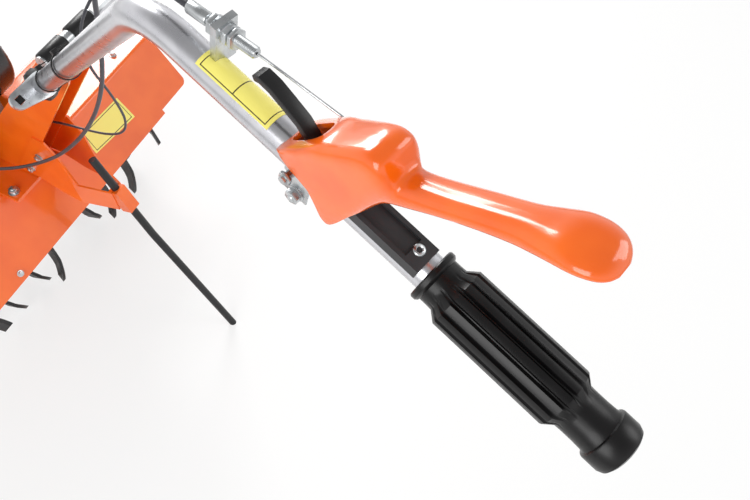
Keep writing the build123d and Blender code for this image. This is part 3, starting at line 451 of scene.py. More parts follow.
# Columns: crest along, crest up, cheek along, cheek up, half width in mm, and the share of a bar.
LEVER_SECTIONS = (
    (134.5, 9, 137, 7, 13.5, 0),
    (138, 15.5, 141, 8, 16, 0),
    (143.5, 25, 149, 8, 17.5, 0),
    (150, 34.5, 157, 7, 18, 0),
    (156, 44, 162, 5.5, 18, 0),
    (161.5, 52, 166, 4, 18, 0),
    (168, 58.5, 170, 0, 18, 0),
    (178, 69.5, 175, -6, 18, 0),
    (187, 79, 181, -13, 18, 0),
    (194, 84, 187, -13, 18, 0),
    (201, 84, 192, -2, 18, 0),
    (206, 79, 197, 14, 17.5, 0.0),
    (210, 74.5, 203, 29, 16, 0.1),
    (213, 73, 207.5, 39.5, 14.6, 0.35),
    (217, 74.5, 213, 49, 12.8, 0.85),
    (226, 81, 224, 60, 12, 1),
    (240, 92.5, 239, 75, 11.8, 1),
    (256, 107, 256, 90, 11.8, 1),
    (272, 121, 274, 104.5, 12.2, 1),
    (282, 129.5, 285, 115, 14.5, 1),
    (291, 137, 294, 123, 16.6, 1),
    (300.5, 140.8, 302.5, 128.7, 17.2, 1),
    (308, 142.4, 309, 132, 15.8, 1),
    (313, 142, 314, 134, 13.2, 1),
    (316.8, 140.5, 317.4, 135.4, 9.4, 1),
    (319, 138.8, 319.2, 136.8, 5, 1),
)
# Columns: share of the half width, and share of the way down from crest to edge, for a hood and for a bar.
HOOD_ROUND = (
    (0, 0), (0.45, 0.008), (0.75, 0.03), (0.93, 0.09), (1.0, 0.22), (1.0, 0.5), (1.0, 0.76), (0.98, 1.0),
)
BAR_ROUND = (
    (0, 0), (0.4, 0.03), (0.72, 0.15), (0.93, 0.36), (1.0, 0.58), (0.93, 0.82), (0.7, 0.97), (0.3, 1.0),
)
ALONG_STEPS, ROUND_STEPS = 4, 4
# The slot's middle and half length are counted in sections, and its half width in rows from the crest.
SLOT_MIDDLE, SLOT_HALF, SLOT_WIDE, SLOT_RIM = 2.9, 1.75, 1.05, 1.6


def smooth_between(rows, place):
    """The rows' values at a fractional place, on a smooth curve that passes through every row."""
    index = min(int(place), len(rows) - 2)
    share = place - index
    picked = [rows[max(index - 1, 0)], rows[index], rows[index + 1], rows[min(index + 2, len(rows) - 1)]]
    weights = (
        -share + 2 * share ** 2 - share ** 3, 2 - 5 * share ** 2 + 3 * share ** 3,
        share + 4 * share ** 2 - 3 * share ** 3, share ** 3 - share ** 2,
    )
    return [sum(weight * value for weight, value in zip(weights, column)) / 2 for column in zip(*picked)]


def slot_reach(section, side):
    """Under 1 inside the rounded slot, on the shell's own grid."""
    return (abs((section - SLOT_MIDDLE) / SLOT_HALF) ** 3 + abs(side / SLOT_WIDE) ** 3) ** (1 / 3)


def lever_shell():
    """A flat grid with the slot's hole in it, folded over the sections."""
    sections, rounds = len(LEVER_SECTIONS) - 1, len(HOOD_ROUND) - 1
    shape = bmesh.new()
    bmesh.ops.create_grid(
        shape, x_segments=sections * ALONG_STEPS, y_segments=2 * rounds * ROUND_STEPS, size=1,
        matrix=Matrix.Diagonal((sections / 2, rounds, 1, 1)) @ Matrix.Translation((1, 0, 0)),
    )
    inside = [face for face in shape.faces if slot_reach(*face.calc_center_median()[:2]) < 1]
    bmesh.ops.delete(shape, geom=inside, context="FACES")
    for vert in shape.verts:
        reach = slot_reach(vert.co.x, vert.co.y)
        if vert.is_boundary and reach < SLOT_RIM:
            vert.co.x = SLOT_MIDDLE + (vert.co.x - SLOT_MIDDLE) / reach
            vert.co.y /= reach
    for vert in shape.verts:
        top_s, top_h, low_s, low_h, wide, bar = smooth_between(LEVER_SECTIONS, vert.co.x)
        hood, rod_like = smooth_between(HOOD_ROUND, abs(vert.co.y)), smooth_between(BAR_ROUND, abs(vert.co.y))
        share, down = [a + (b - a) * bar for a, b in zip(hood, rod_like)]
        side = math.copysign(share * wide, vert.co.y)
        vert.co = (top_s + (low_s - top_s) * down, top_h + (low_h - top_h) * down, side)
    bmesh.ops.recalc_face_normals(shape, faces=shape.faces)
    crest = max(shape.faces, key=lambda face: face.calc_center_median().y - abs(face.calc_center_median().z))
    if crest.normal.y < 0:
        bmesh.ops.reverse_faces(shape, faces=shape.faces)
    return shape


lever = make_piece("dipped_lever", lever_shell(), "clutch_lever", dipped_vinyl, GRIP, ("clutch_lever",))
wall = lever.modifiers.new("wall", "SOLIDIFY")
wall.thickness, wall.offset = LEVER_WALL * MM, -1
rim = lever.modifiers.new("rim", "BEVEL")
rim.width, rim.segments = LEVER_RIM * MM, 3
rim.limit_method, rim.angle_limit = "ANGLE", math.radians(60)
print("lever sections", len(LEVER_SECTIONS), "faces", len(lever.data.polygons))

# %% [markdown]
# The lever's pivot sits in a zinc strap that is clamped round the tube by a bolt below it. Both nuts show
# beside the cheek's edge. The strap's band is spun from its section, and its ears are two small plates.

# %% Pivot strap
STRAP_START, STRAP_END, STRAP_INNER, STRAP_OUTER = 144.0, 166.0, 12.6, 14.2
EAR_SIZE, EAR_PLACE = (20, 26, 1.6), (156, -11, 13.4)
CLAMP_PLACE, CLAMP_NUT, PIVOT_PLACE, PIVOT_NUT = (157, -18.5), 14.4, (150, 0), 18.2
shape = bmesh.new()
band = [(STRAP_START, STRAP_INNER), (STRAP_START, STRAP_OUTER)]
band += [(STRAP_END, STRAP_OUTER), (STRAP_END, STRAP_INNER)]
lathe(shape, band + band[:1])
for side in (-1, 1):
    block(shape, EAR_SIZE, (*EAR_PLACE[:2], side * EAR_PLACE[2]), 0.6)
    hexagon(shape, 10, 5.5, (*CLAMP_PLACE, side * CLAMP_NUT), (0, 0, side), 0.45)
    rod(shape, 6.4, (*CLAMP_PLACE, side * 14), (*CLAMP_PLACE, side * 15.2), 0.2)
    hexagon(shape, 9, 3.0, (*PIVOT_PLACE, side * PIVOT_NUT), (0, 0, side), 0.5)
rod(shape, 3, (*CLAMP_PLACE, -20), (*CLAMP_PLACE, 20))
make_piece("pivot_strap", shape, "handle", bright_zinc, GRIP)
print("strap", STRAP_END - STRAP_START, "mm wide and", round(STRAP_OUTER - STRAP_INNER, 1), "mm thick")

# %% [markdown]
# The black lock catch is a moulded hook that reaches forward out of the lever's slot. A curve with a bevel
# could draw it too, but square rings bridged along a line of points keep its flat sides and sharp end.

# %% Lock catch
# Columns: along the grip and up from its axis, in mm.
CATCH_LINE = ((157, 20), (151.5, 27), (141, 35), (128, 39.5), (117, 43), (108, 43.5), (103.5, 40.5))
CATCH_HALF_WIDE, CATCH_HALF_THICK, CATCH_TIP_SHARE = 5.0, 3.0, 0.7
CATCH_CORNER = math.radians(50)


def catch_shape():
    shape = bmesh.new()
    line = [Vector((along, up, 0)) for along, up in CATCH_LINE]
    before = None
    for index, point in enumerate(line):
        ahead = line[min(index + 1, len(line) - 1)] - line[max(index - 1, 0)]
        normal = Vector((-ahead.y, ahead.x, 0)).normalized()
        thick = CATCH_HALF_THICK * (CATCH_TIP_SHARE if index == len(line) - 1 else 1)
        ring = [
            shape.verts.new(point + normal * thick * up + Vector((0, 0, CATCH_HALF_WIDE * across)))
            for up, across in ((-1, -1), (1, -1), (1, 1), (-1, 1))
        ]
        edges = [shape.edges.new((ring[k], ring[(k + 1) % 4])) for k in range(4)]
        if before:
            bmesh.ops.bridge_loops(shape, edges=before + edges)
        before = edges
    bmesh.ops.holes_fill(shape, edges=shape.edges, sides=4)
    bmesh.ops.recalc_face_normals(shape, faces=shape.faces)
    round_edges(shape, [edge for edge in shape.edges if edge.calc_face_angle(0) > CATCH_CORNER], 0.8)
    return shape


catch = make_piece("catch_hook", catch_shape(), "clutch_lever", black_plastic, GRIP, ("lock_catch",))
print("catch faces", len(catch.data.polygons))

# %% [markdown]
# Each grip is one rubber moulding: flange, neck, a fluted body with fifteen ribs, a rear neck and a cap.
# It is spun from its outline, and then the flutes are pressed into the body between the ribs, which is easier
# to steer than cutting fifteen grooves one by one.

# %% Grips
RIBS, STEPS_PER_RIB = 15, 12
FLUTE_DEEP, FLUTE_FLOOR, FLUTE_START, FLUTE_END = 2.8, 16.1, 268.5, 373
CREST_SHARE, WALL_SHARE = 0.6, 0.2
# Columns: along the grip and radius, in mm.
GRIP_PROFILE = (
    (255, 12.6), (255, 17.6), (256, 18.5), (259, 18.5), (260.4, 17.4), (261.2, 16), (266, 16), (270.5, 16.2),
    (277, 21.5), (300, 21.5), (320, 21.5), (342, 21.5), (364, 21.5), (370.5, 16.2), (375, 16), (384, 16),
    (391, 16.3), (393.4, 17), (394, 18.6), (395, 19), (406, 19), (409.5, 17.6), (411, 15), (411, 8), (411, 0),
)


def grip_shape():
    shape = bmesh.new()
    lathe(shape, GRIP_PROFILE, RIBS * STEPS_PER_RIB)
    for vert in shape.verts:
        radius = math.hypot(vert.co.y, vert.co.z)
        if radius > FLUTE_FLOOR and FLUTE_START < vert.co.x < FLUTE_END:
            rib = math.atan2(vert.co.z, vert.co.y) / (2 * math.pi) * RIBS
            from_rib = abs(rib - round(rib)) * 2
            pressed = FLUTE_DEEP * min(1.0, max(0.0, (from_rib - CREST_SHARE) / WALL_SHARE))
            scale = max(FLUTE_FLOOR, radius - pressed) / radius
            vert.co.y *= scale
            vert.co.z *= scale
    return shape


for side, matrix in (("left", GRIP), ("right", MIRROR @ GRIP)):
    grip = make_piece(f"fluted_grip_{side}", grip_shape(), "handle", grip_rubber, matrix, (f"grip_{side}",))
print("one rib every", 360 / RIBS, "degrees")

# %% [markdown]
# The tray under the lever is held by a tubular rivet, whose rolled rim catches the light. Its section is a
# small hook, spun round the rivet's own axis.

# %% Rivet in the tray
RIVET_PLACE = (241.4, 0, 1.1)
RIVET_PROFILE = ((15.5, 0), (15.5, 1.6), (16.6, 1.9), (17.2, 2.6), (16.9, 3.5), (16.2, 4.2), (15.4, 4.4))
shape = bmesh.new()
lathe(shape, RIVET_PROFILE, 32, (0, 1, 0), RIVET_PLACE)
make_piece("tray_rivet", shape, "handle", bright_zinc, GRIP)
print("rivet rim", 2 * max(radius for _, radius in RIVET_PROFILE), "mm across")

# %% [markdown]
# The cable adjuster is a zinc barrel with a fine thread, held in a bent tab by nuts on both sides.
# A helix could be cut for the thread, but at this size plain rings look the same. So one profile spun round
# its axis makes ferrule, barrel and thread, with the ridges at a true 1.25 mm pitch.

# %% Cable adjuster
CABLE_SIDE = -9.0
FERRULE_AT, BARREL_AT = Vector((36, 27, CABLE_SIDE)), Vector((94, 41, CABLE_SIDE))
adjuster_axis = (BARREL_AT - FERRULE_AT).normalized()
THREAD_PITCH, THREAD_START, THREAD_END, THREAD_CREST, THREAD_ROOT = 1.25, 22.0, 59.0, 4.0, 3.45
# Columns: along the barrel and thickness, in mm.
BARREL_NUTS, NUT_ACROSS = ((21.0, 4.5), (33.4, 5.0), (39.6, 3.2)), 13


def adjuster_profile():
    profile = [(0, 2.6), (0, 4.2), (0.8, 4.6), (16.5, 4.6), (17.5, 4.1), (17.8, 3.2), (THREAD_START, 3.2)]
    along = THREAD_START
    while along < THREAD_END - THREAD_PITCH:
        profile += [(along + THREAD_PITCH / 2, THREAD_CREST), (along + THREAD_PITCH, THREAD_ROOT)]
        along += THREAD_PITCH
    return profile + [(THREAD_END, 3.0), (THREAD_END, 1.0)]


shape = bmesh.new()
lathe(shape, adjuster_profile(), 28, adjuster_axis, FERRULE_AT)
barrel = make_piece("threaded_adjuster", shape, "handle", bright_zinc, GRIP, ("adjuster_barrel",))

shape = bmesh.new()
for start, thick in BARREL_NUTS:
    hexagon(shape, NUT_ACROSS, thick, FERRULE_AT + adjuster_axis * start, adjuster_axis)
make_piece("adjuster_nuts", shape, "handle", bright_zinc, GRIP)
print("thread ridges", int((THREAD_END - THREAD_START) / THREAD_PITCH))

# %% [markdown]
# Two black nylon ties hold the cables to the left arm. Each is a flat band round the tube, spun from its
# section, with a square head and a cut tail.

# %% Cable ties
# Columns: along the leg and the band's inner radius, in mm.
TIES, BAND_HALF = ((46, 14.2), (160, 14.4)), 2.4


def tie_shape():
    shape = bmesh.new()
    for along, radius in TIES:
        low, high, inner, outer = along - BAND_HALF, along + BAND_HALF, radius - 0.9, radius + 0.3
        lathe(shape, ((low, inner), (low, outer), (high, outer), (high, inner), (low, inner)), 40)
        block(shape, (7.5, 5.0, 6.5), (along, radius + 1.6, 1.5), 0.7)
        block(shape, (3.2, 1.2, 12), (along, radius + 2.6, -7.5), 0.3)
    return shape


make_piece("cable_ties", tie_shape(), "handle", black_plastic, LEG)
print("ties", len(TIES))

# %% [markdown]
# The stickers are thin yellow vinyl, blank here but for a thin dark frame line, and a divider on one of them.
# A picture could be wrapped on, but a few nodes that measure how far a point is from the sheet's middle draw
# the lines sharper. They read the sticker's own UV map, so the lines follow it wherever it bends.

# %% Sticker finish
VINYL_YELLOW, VINYL_LINE = "#FDF27C", "#4A4424"
# Shares of the sheet from its middle, along and then across: the frame line, half its width, its corner.
LINE_ALONG, HALF_ALONG, CORNER_ALONG = 0.45, 0.006, 0.456
LINE_ACROSS, HALF_ACROSS, CORNER_ACROSS = 0.42, 0.016, 0.426
DIVIDER_HALF = 0.007
# Columns: a step's own name, its operation, and its inputs: numbers, the map's X or Y, or earlier steps.
FRAME_STEPS = (
    ("right", "SUBTRACT", "X", 0.5), ("along", "ABSOLUTE", "right"),
    ("up", "SUBTRACT", "Y", 0.5), ("across", "ABSOLUTE", "up"),
    ("past_end", "SUBTRACT", "along", LINE_ALONG), ("from_end", "ABSOLUTE", "past_end"),
    ("near_end", "LESS_THAN", "from_end", HALF_ALONG), ("within_end", "LESS_THAN", "across", CORNER_ACROSS),
    ("past_side", "SUBTRACT", "across", LINE_ACROSS), ("from_side", "ABSOLUTE", "past_side"),
    ("near_side", "LESS_THAN", "from_side", HALF_ACROSS), ("within_side", "LESS_THAN", "along", CORNER_ALONG),
    ("end_lines", "MULTIPLY", "near_end", "within_end"),
    ("side_lines", "MULTIPLY", "near_side", "within_side"),
    ("drawn", "MAXIMUM", "end_lines", "side_lines"),
)
DIVIDER_STEPS = (
    ("near_middle", "LESS_THAN", "along", DIVIDER_HALF), ("within_frame", "LESS_THAN", "across", LINE_ACROSS),
    ("middle_line", "MULTIPLY", "near_middle", "within_frame"), ("drawn", "MAXIMUM", "drawn", "middle_line"),
)


def sticker_finish(name, steps):
    """Yellow vinyl, dark wherever the steps end above zero."""
    material, tree, _ = new_material(name)
    flat = add_node(tree, "ShaderNodeUVMap", uv_map="sticker").outputs["UV"]
    split = add_node(tree, "ShaderNodeSeparateXYZ", {"Vector": flat})
    known = {"X": split.outputs["X"], "Y": split.outputs["Y"]}
    for result, operation, *values in steps:
        inputs = {index: known.get(value, value) for index, value in enumerate(values)}
        known[result] = add_node(tree, "ShaderNodeMath", inputs, operation=operation).outputs[0]
    colors = {"Factor": known["drawn"], "A": hex_color(VINYL_YELLOW), "B": hex_color(VINYL_LINE)}
    color = add_node(tree, "ShaderNodeMix", colors, data_type="RGBA").outputs["Result"]
    close_material(tree, {"Base Color": color, "Roughness": 0.3, "IOR": 1.46, "Coat Weight": 0.3})
    return material


two_field_vinyl = sticker_finish("printed_vinyl_two_fields", FRAME_STEPS + DIVIDER_STEPS)
one_field_vinyl = sticker_finish("printed_vinyl_one_field", FRAME_STEPS)
print("steps of arithmetic in the lines", len(FRAME_STEPS), "and", len(DIVIDER_STEPS))

# %% [markdown]
# The arm's sticker is wrapped round the tube and the guard's lies flat on its slope. Each starts as a grid of
# squares with its own UV map, and every point of the grid is then carried to its place on the metal.

# %% Stickers
TUBE_STICKER = {"start": 59.0, "end": 122.0, "right": math.radians(-64), "left": math.radians(43)}
TUBE_STICKER_LIFT, GUARD_STICKER_LIFT = 0.2, 0.3
GUARD_STICKER = (
    Vector((-105, -190, 299)), Vector((-132, -191, 261)), Vector((-127, -85, 268)), Vector((-103, -89, 302)),
)
GUARD_SLOPE_FOOT, GUARD_SLOPE_NORMAL = Vector((-155, 0, 229)), Vector((-99, 0, 68)).normalized()


def sticker_grid(across, down):
    shape = bmesh.new()
    layer = shape.loops.layers.uv.new("sticker")
    bmesh.ops.create_grid(shape, x_segments=across, y_segments=down, size=0.5)
    for face in shape.faces:
        for loop in face.loops:
            loop[layer].uv = (loop.vert.co.x + 0.5, loop.vert.co.y + 0.5)
    return shape


def face_out(shape, outward):
    """Turns the sheet's faces to the side that shows."""
    bmesh.ops.recalc_face_normals(shape, faces=shape.faces)
    if shape.faces[0].normal.dot(Vector(outward)) < 0:
        bmesh.ops.reverse_faces(shape, faces=shape.faces)


shape = sticker_grid(16, 24)
for vert in shape.verts:
    u, v = vert.co.x + 0.5, vert.co.y + 0.5
    angle = TUBE_STICKER["left"] + (TUBE_STICKER["right"] - TUBE_STICKER["left"]) * v
    along = TUBE_STICKER["start"] + (TUBE_STICKER["end"] - TUBE_STICKER["start"]) * u
    radius = TUBE_RADIUS + TUBE_STICKER_LIFT
    vert.co = (along, radius * math.cos(angle), radius * math.sin(angle))
face_out(shape, (0, 1, 0))
make_piece("arm_sticker", shape, "handle", two_field_vinyl, GRIP)

shape = sticker_grid(6, 6)
for vert in shape.verts:
    u, v = vert.co.x + 0.5, vert.co.y + 0.5
    upper, lower = GUARD_STICKER[0].lerp(GUARD_STICKER[3], u), GUARD_STICKER[1].lerp(GUARD_STICKER[2], u)
    place = upper.lerp(lower, v)
    height = (place - GUARD_SLOPE_FOOT).dot(GUARD_SLOPE_NORMAL)
    vert.co = place - GUARD_SLOPE_NORMAL * (height - GUARD_STICKER_LIFT)
face_out(shape, (0, 0, 1))
make_piece("guard_sticker", shape, "chassis", one_field_vinyl)
print("arm sticker", TUBE_STICKER["end"] - TUBE_STICKER["start"], "mm long")

# %% [markdown]
# Small fasteners tell the size of a machine. Bolt heads are hexagons with chamfered corners on a washer,
# placed where the sheets overlap and where the column, plate and bracket are held. One table of places,
# directions and sizes feeds a loop, because every bolt is made alike.

# %% Bolts on the chassis
# Columns: place in mm, direction, and size across the flats in mm.
chassis_bolts = [((-147.4, 160, 239.6), GUARD_SLOPE_NORMAL, 8)]
for side in (-1, 1):
    chassis_bolts += [((x, side * 70, 334), (0, 0, 1), 13) for x in (-108, 60, 150)]
    chassis_bolts += [((x, side * 30, z), (0, side, 0), 10) for x, z in ((-122, 358), (-160, 406))]
chassis_bolts += [((x, y, 328), (0, 0, 1), 10) for x in (-60, 30) for y in (-256, 256)]
WASHER_SHARE, WASHER_SUNK, WASHER_TOP, HEAD_START = 0.72, 0.3, 1.3, 1.2
shape = bmesh.new()
for place, axis, across in chassis_bolts:
    place, axis = Vector(place), Vector(axis)
    rod(shape, across * WASHER_SHARE, place - axis * WASHER_SUNK, place + axis * WASHER_TOP, 0.3, 28)
    hexagon(shape, across, across / 2, place + axis * HEAD_START, axis, 0.35)
make_piece("chassis_bolts", shape, "chassis", bright_zinc)
print("chassis bolts", len(chassis_bolts))

# %% [markdown]
# The clamp knob is a five-lobed moulding. It could be cut from a disc, but pulling the points of a spun disc
# in between its lobes keeps the rounded rim whole. Its bolt ends in a nut on the other side.

# %% Clamp knob
PIVOT = Vector((-290, 0, 640))
KNOB_FACE, LOBES, LOBE_FOOT, LOBE_CORE, LOBE_DEEP = 32.5, 5, 6.5, 15, 0.14
# Columns: out from the clamp's face and radius, in mm.
KNOB_PROFILE = (
    (0, 6), (0, 11), (6, 12), (7, 19.5), (9, 21.6), (16, 22), (21, 21), (24, 17), (24.2, 8), (23, 6.5),
    (23, 0),
)


def pull_in(co, centre, axes, lobes, deep, power):
    """Draws a point in towards a centre, most in a lobed rim's valleys. A higher power narrows them."""
    first, second = (co[axis] - centre[axis] for axis in axes)
    scale = 1 - deep * (0.5 + 0.5 * math.cos(lobes * math.atan2(second, first))) ** power
    co[axes[0]], co[axes[1]] = centre[axes[0]] + first * scale, centre[axes[1]] + second * scale


shape = bmesh.new()
lathe(shape, [(KNOB_FACE + along, radius) for along, radius in KNOB_PROFILE], 60, (0, 1, 0))
for vert in shape.verts:
    if vert.co.y > KNOB_FACE + LOBE_FOOT and math.hypot(vert.co.x, vert.co.z) > LOBE_CORE:
        pull_in(vert.co, (0, 0, 0), (0, 2), LOBES, LOBE_DEEP, 2)
bmesh.ops.translate(shape, verts=shape.verts, vec=PIVOT)
knob = make_piece("lobed_knob", shape, "chassis", black_plastic, MACHINE, ("clamp_knob",))

shape = bmesh.new()
nut_face = PIVOT + Vector((0, -KNOB_FACE, 0))
hexagon(shape, 16, 8, nut_face, (0, -1, 0))
rod(shape, 11, nut_face + Vector((0, 0.5, 0)), nut_face + Vector((0, -1, 0)), 0.3)
make_piece("clamp_nut", shape, "chassis", bright_zinc)
print("knob lobes", LOBES, "faces", len(knob.data.polygons))

# %% [markdown]
# Between the arms' feet runs the cross bar, with a black nylon sleeve at each end where the arms swing on it.
# Each sleeve is spun from its section, with small chamfers that catch the light.

# %% Cross bar sleeves
SEAT_ALONG, SEAT_UP = Vector((1, 0, 1)).normalized(), SEAT_NORMAL
CROSS_CENTRE = SEAT_POINT + SEAT_UP * 3 + SEAT_ALONG * 16
SLEEVE_BORE, SLEEVE_EDGE, SLEEVE_RADIUS = 9, 10.6, 11.2
shape = bmesh.new()
for start, end in ((-43, -6), (6, 43)):
    sleeve = (
        (start, SLEEVE_BORE), (start, SLEEVE_EDGE), (start + 1, SLEEVE_RADIUS), (end - 1, SLEEVE_RADIUS),
        (end, SLEEVE_EDGE), (end, SLEEVE_BORE),
    )
    lathe(shape, sleeve, 36, (0, 1, 0), CROSS_CENTRE)
make_piece("cross_bar_sleeves", shape, "handle", black_plastic)
print("sleeves", 2 * SLEEVE_RADIUS, "mm across")

# %% [markdown]
# Each foot has a square hole for the neck of a carriage bolt. The bolt's black end fills it from below, so a
# small bevelled block in the hole is all that shows of it.

# %% Plugs in the feet
EYE_SIDE, EYE_FORWARD, EYE_DOWN, EYE_SIZE = 96.0, 5.5, 4.5, (8.6, 8.6, 2.6)
eye = SEAT_POINT + SEAT_ALONG * EYE_FORWARD - SEAT_UP * EYE_DOWN
shape = bmesh.new()
for side in (-1, 1):
    lean_back = Matrix.Rotation(math.radians(-45), 4, "Y")
    block(shape, EYE_SIZE, eye + Vector((0, side * EYE_SIDE, 0)), 0.5, lean_back)
make_piece("foot_plugs", shape, "handle", black_plastic)
print("plugs", EYE_SIZE[0], "mm square")

# %% [markdown]
# The transport wheel's tyre is spun from its section, and every other field of its tread band is raised.
# The base of the tread lies below the CAD tyre's radius, so the blocks end flush with it. Extruding faces
# that are already there keeps each block joined to the tyre.

# %% Tyre
WHEEL = Vector((272, 0, 103))
WHEEL_RADIUS, TREAD_DEEP, TREAD_STEPS, TREAD_SUNK = 95.0, 3.0, 36, 0.2
TREAD_ROW, TREAD_BAND, TREAD_TAPER = 7, 2.5, (0.93, 0.9, 0.93)
tread_base = WHEEL_RADIUS - TREAD_DEEP
# Columns: along the axle and radius in mm, from the bead out to the middle of the tread.
TYRE_HALF = (
    (13, 58), (17, 60), (19.5, 68), (19.8, 78), (18, 86), (14, tread_base - 1), (TREAD_ROW, tread_base),
)
shape = bmesh.new()
tyre_ring = [(-along, radius) for along, radius in TYRE_HALF] + [(0, tread_base), *reversed(TYRE_HALF)]
lathe(shape, tyre_ring + tyre_ring[:1], TREAD_STEPS * 2, (0, 1, 0))
raised = []
for face in shape.faces:
    middle = face.calc_center_median()
    step = int((math.atan2(middle.z, middle.x) / (2 * math.pi) + 1) * TREAD_STEPS * 2 + 0.25)
    row = 0 if abs(middle.y) < TREAD_ROW else 1
    if math.hypot(middle.x, middle.z) > tread_base - TREAD_BAND and (step + row) % 2 == 0:
        raised.append(face)
for face in bmesh.ops.extrude_discrete_faces(shape, faces=raised)["faces"]:
    middle = face.calc_center_median()
    outward = Vector((middle.x, 0, middle.z)).normalized()
    bmesh.ops.translate(shape, verts=face.verts, vec=outward * (TREAD_DEEP - TREAD_SUNK))
    bmesh.ops.scale(shape, verts=face.verts, vec=TREAD_TAPER, space=Matrix.Translation(-middle))
bmesh.ops.translate(shape, verts=shape.verts, vec=WHEEL)
tyre = make_piece("treaded_tyre", shape, "front_wheel", tyre_rubber, replaces=("wheel_tyre",))
print("tread blocks", len(raised))

# %% [markdown]
# The rim's disc is stiffened by moulded ribs on both faces, and the axle and the fork's bolt end in nuts. The
# ribs ride on the wheel and the nuts on the fork, so they are two pieces.

# %% Rim ribs and fork nuts
SPOKES, RIB_SIZE, RIB_MIDDLE, RIB_SIDE = 6, (33, 8, 6), 33, 8.2
AXLE_FACE, FORK_BOLT = 34, (196, 32, 306)
shape = bmesh.new()
for side in (-1, 1):
    for spoke in range(SPOKES):
        turn = Matrix.Rotation(2 * math.pi * spoke / SPOKES, 4, "Y")
        block(shape, RIB_SIZE, WHEEL + turn @ Vector((RIB_MIDDLE, side * RIB_SIDE, 0)), 1.2, turn)
make_piece("rim_ribs", shape, "front_wheel", black_plastic)

shape = bmesh.new()
for side in (-1, 1):
    axle_face = WHEEL + Vector((0, side * AXLE_FACE, 0))
    rod(shape, 13, axle_face - Vector((0, side * 2, 0)), axle_face, 0.4)
    hexagon(shape, 17, 5, axle_face, (0, side, 0))
    hexagon(shape, 14, 7, (FORK_BOLT[0], side * FORK_BOLT[1], FORK_BOLT[2]), (0, side, 0))
make_piece("fork_nuts", shape, "front_fork", bright_zinc)
print("ribs", 2 * SPOKES)

# %% [markdown]
# The blades are bolted to their flanges, two bolts to a blade. The bolts ride on the reel and turn with it.
# The same four sets and turns as in the part's source place them, so each bolt lands on its blade.

# %% Blade bolts
SET_PLACES, BLADES, BOLT_RADII, FLANGE_HALF = (50, 114, 184, 254), 4, (30, 42), 3
SET_TURNS = {1: (-45, -67.5, -67.5, 0), -1: (-67.5, -45, -45, 0)}
BLADE_OFFSET, TIP_RADIUS = 26, 150
lean = math.degrees(math.asin(BLADE_OFFSET / TIP_RADIUS))
shape = bmesh.new()
for side in (-1, 1):
    for index, y in enumerate(SET_PLACES):
        for count in range(BLADES):
            away = -1 if index == 0 or (count % 2 == 0 and index < 3) else 1
            angle = math.radians(lean + count * 360 / BLADES + SET_TURNS[side][index])
            turn = Matrix.Rotation(angle, 4, "Y")
            for radius in BOLT_RADII:
                face = Vector((AXLE_X, side * (y + away * FLANGE_HALF), AXLE_Z))
                hexagon(shape, 10, 4.5, face + turn @ Vector((0, 0, radius)), (0, side * away, 0))
make_piece("blade_bolts", shape, "reel", bright_zinc)
print("blade bolts", 2 * len(SET_PLACES) * BLADES * len(BOLT_RADII))

# %% [markdown]
# The engine is an upright air-cooled single. Its recoil starter breathes through a ring of ribbed slots and
# is held by four screws. The ribs are laid on the CAD's cover, which is simpler than cutting slots into it.

# %% Recoil starter
ENGINE_X = 82.0
FAN, FAN_RIBS, FAN_SCREWS = Vector((ENGINE_X, -104, 426)), 24, 4
# Columns: size, distance from the middle, place along the shaft and bevel in mm, for outer and inner ring.
RIB_RINGS = (((20, 4, 3.2), 66, -0.5, 0.8), ((22, 3, 2.6), 30, -17, 0.7))
shape = bmesh.new()
for rib in range(FAN_RIBS):
    turn = Matrix.Rotation(2 * math.pi * rib / FAN_RIBS, 4, "Y")
    for size, distance, out, bevel in RIB_RINGS:
        block(shape, size, FAN + turn @ Vector((distance, out, 0)), bevel, turn)
make_piece("fan_ribs", shape, "chassis", black_plastic)

shape = bmesh.new()
lathe(shape, ((-19.5, 0), (-19.5, 9), (-18.5, 11), (-15.5, 11.6)), 32, (0, 1, 0), FAN)
for screw in range(FAN_SCREWS):
    turn = Matrix.Rotation(math.pi / 4 + 2 * math.pi * screw / FAN_SCREWS, 4, "Y")
    hexagon(shape, 8, 4, FAN + turn @ Vector((80, 0, 0)) + Vector((0, 1.5, 0)), (0, -1, 0))
make_piece("fan_screws", shape, "chassis", bright_zinc)
print("starter ribs", len(RIB_RINGS) * FAN_RIBS)

# %% [markdown]
# The fuel tank's cap has a ribbed rim for the fingers. It is spun and then pulled in between its ribs, the
# same way as the clamp knob, with more and shallower lobes.

# %% Tank cap
CAP, CAP_RIBS, CAP_DEEP, CAP_CORE = Vector((ENGINE_X - 48, 8, 597)), 18, 0.05, 22.5
# Columns: up from the tank and radius, in mm.
CAP_PROFILE = (
    (0, 20), (1, 23.4), (3, 24), (15, 24), (17.4, 22.4), (18, 19), (18, 10), (17, 9), (17, 0),
)
shape = bmesh.new()
lathe(shape, CAP_PROFILE, 72, (0, 0, 1), CAP)
for vert in shape.verts:
    from_cap = vert.co - CAP
    if math.hypot(from_cap.x, from_cap.y) > CAP_CORE and 2 < from_cap.z < 16:
        pull_in(vert.co, CAP, (0, 1), CAP_RIBS, CAP_DEEP, 1)
cap = make_piece("ribbed_tank_cap", shape, "chassis", black_plastic, replaces=("tank_cap",))
print("cap ribs", CAP_RIBS)

# %% [markdown]
# The air filter's cover has five cooling ribs and a lid seam, and the tank has the seam of its two welded
# halves. The muffler's heat guard is a pressed plate with rows of louvres and a short outlet pipe.

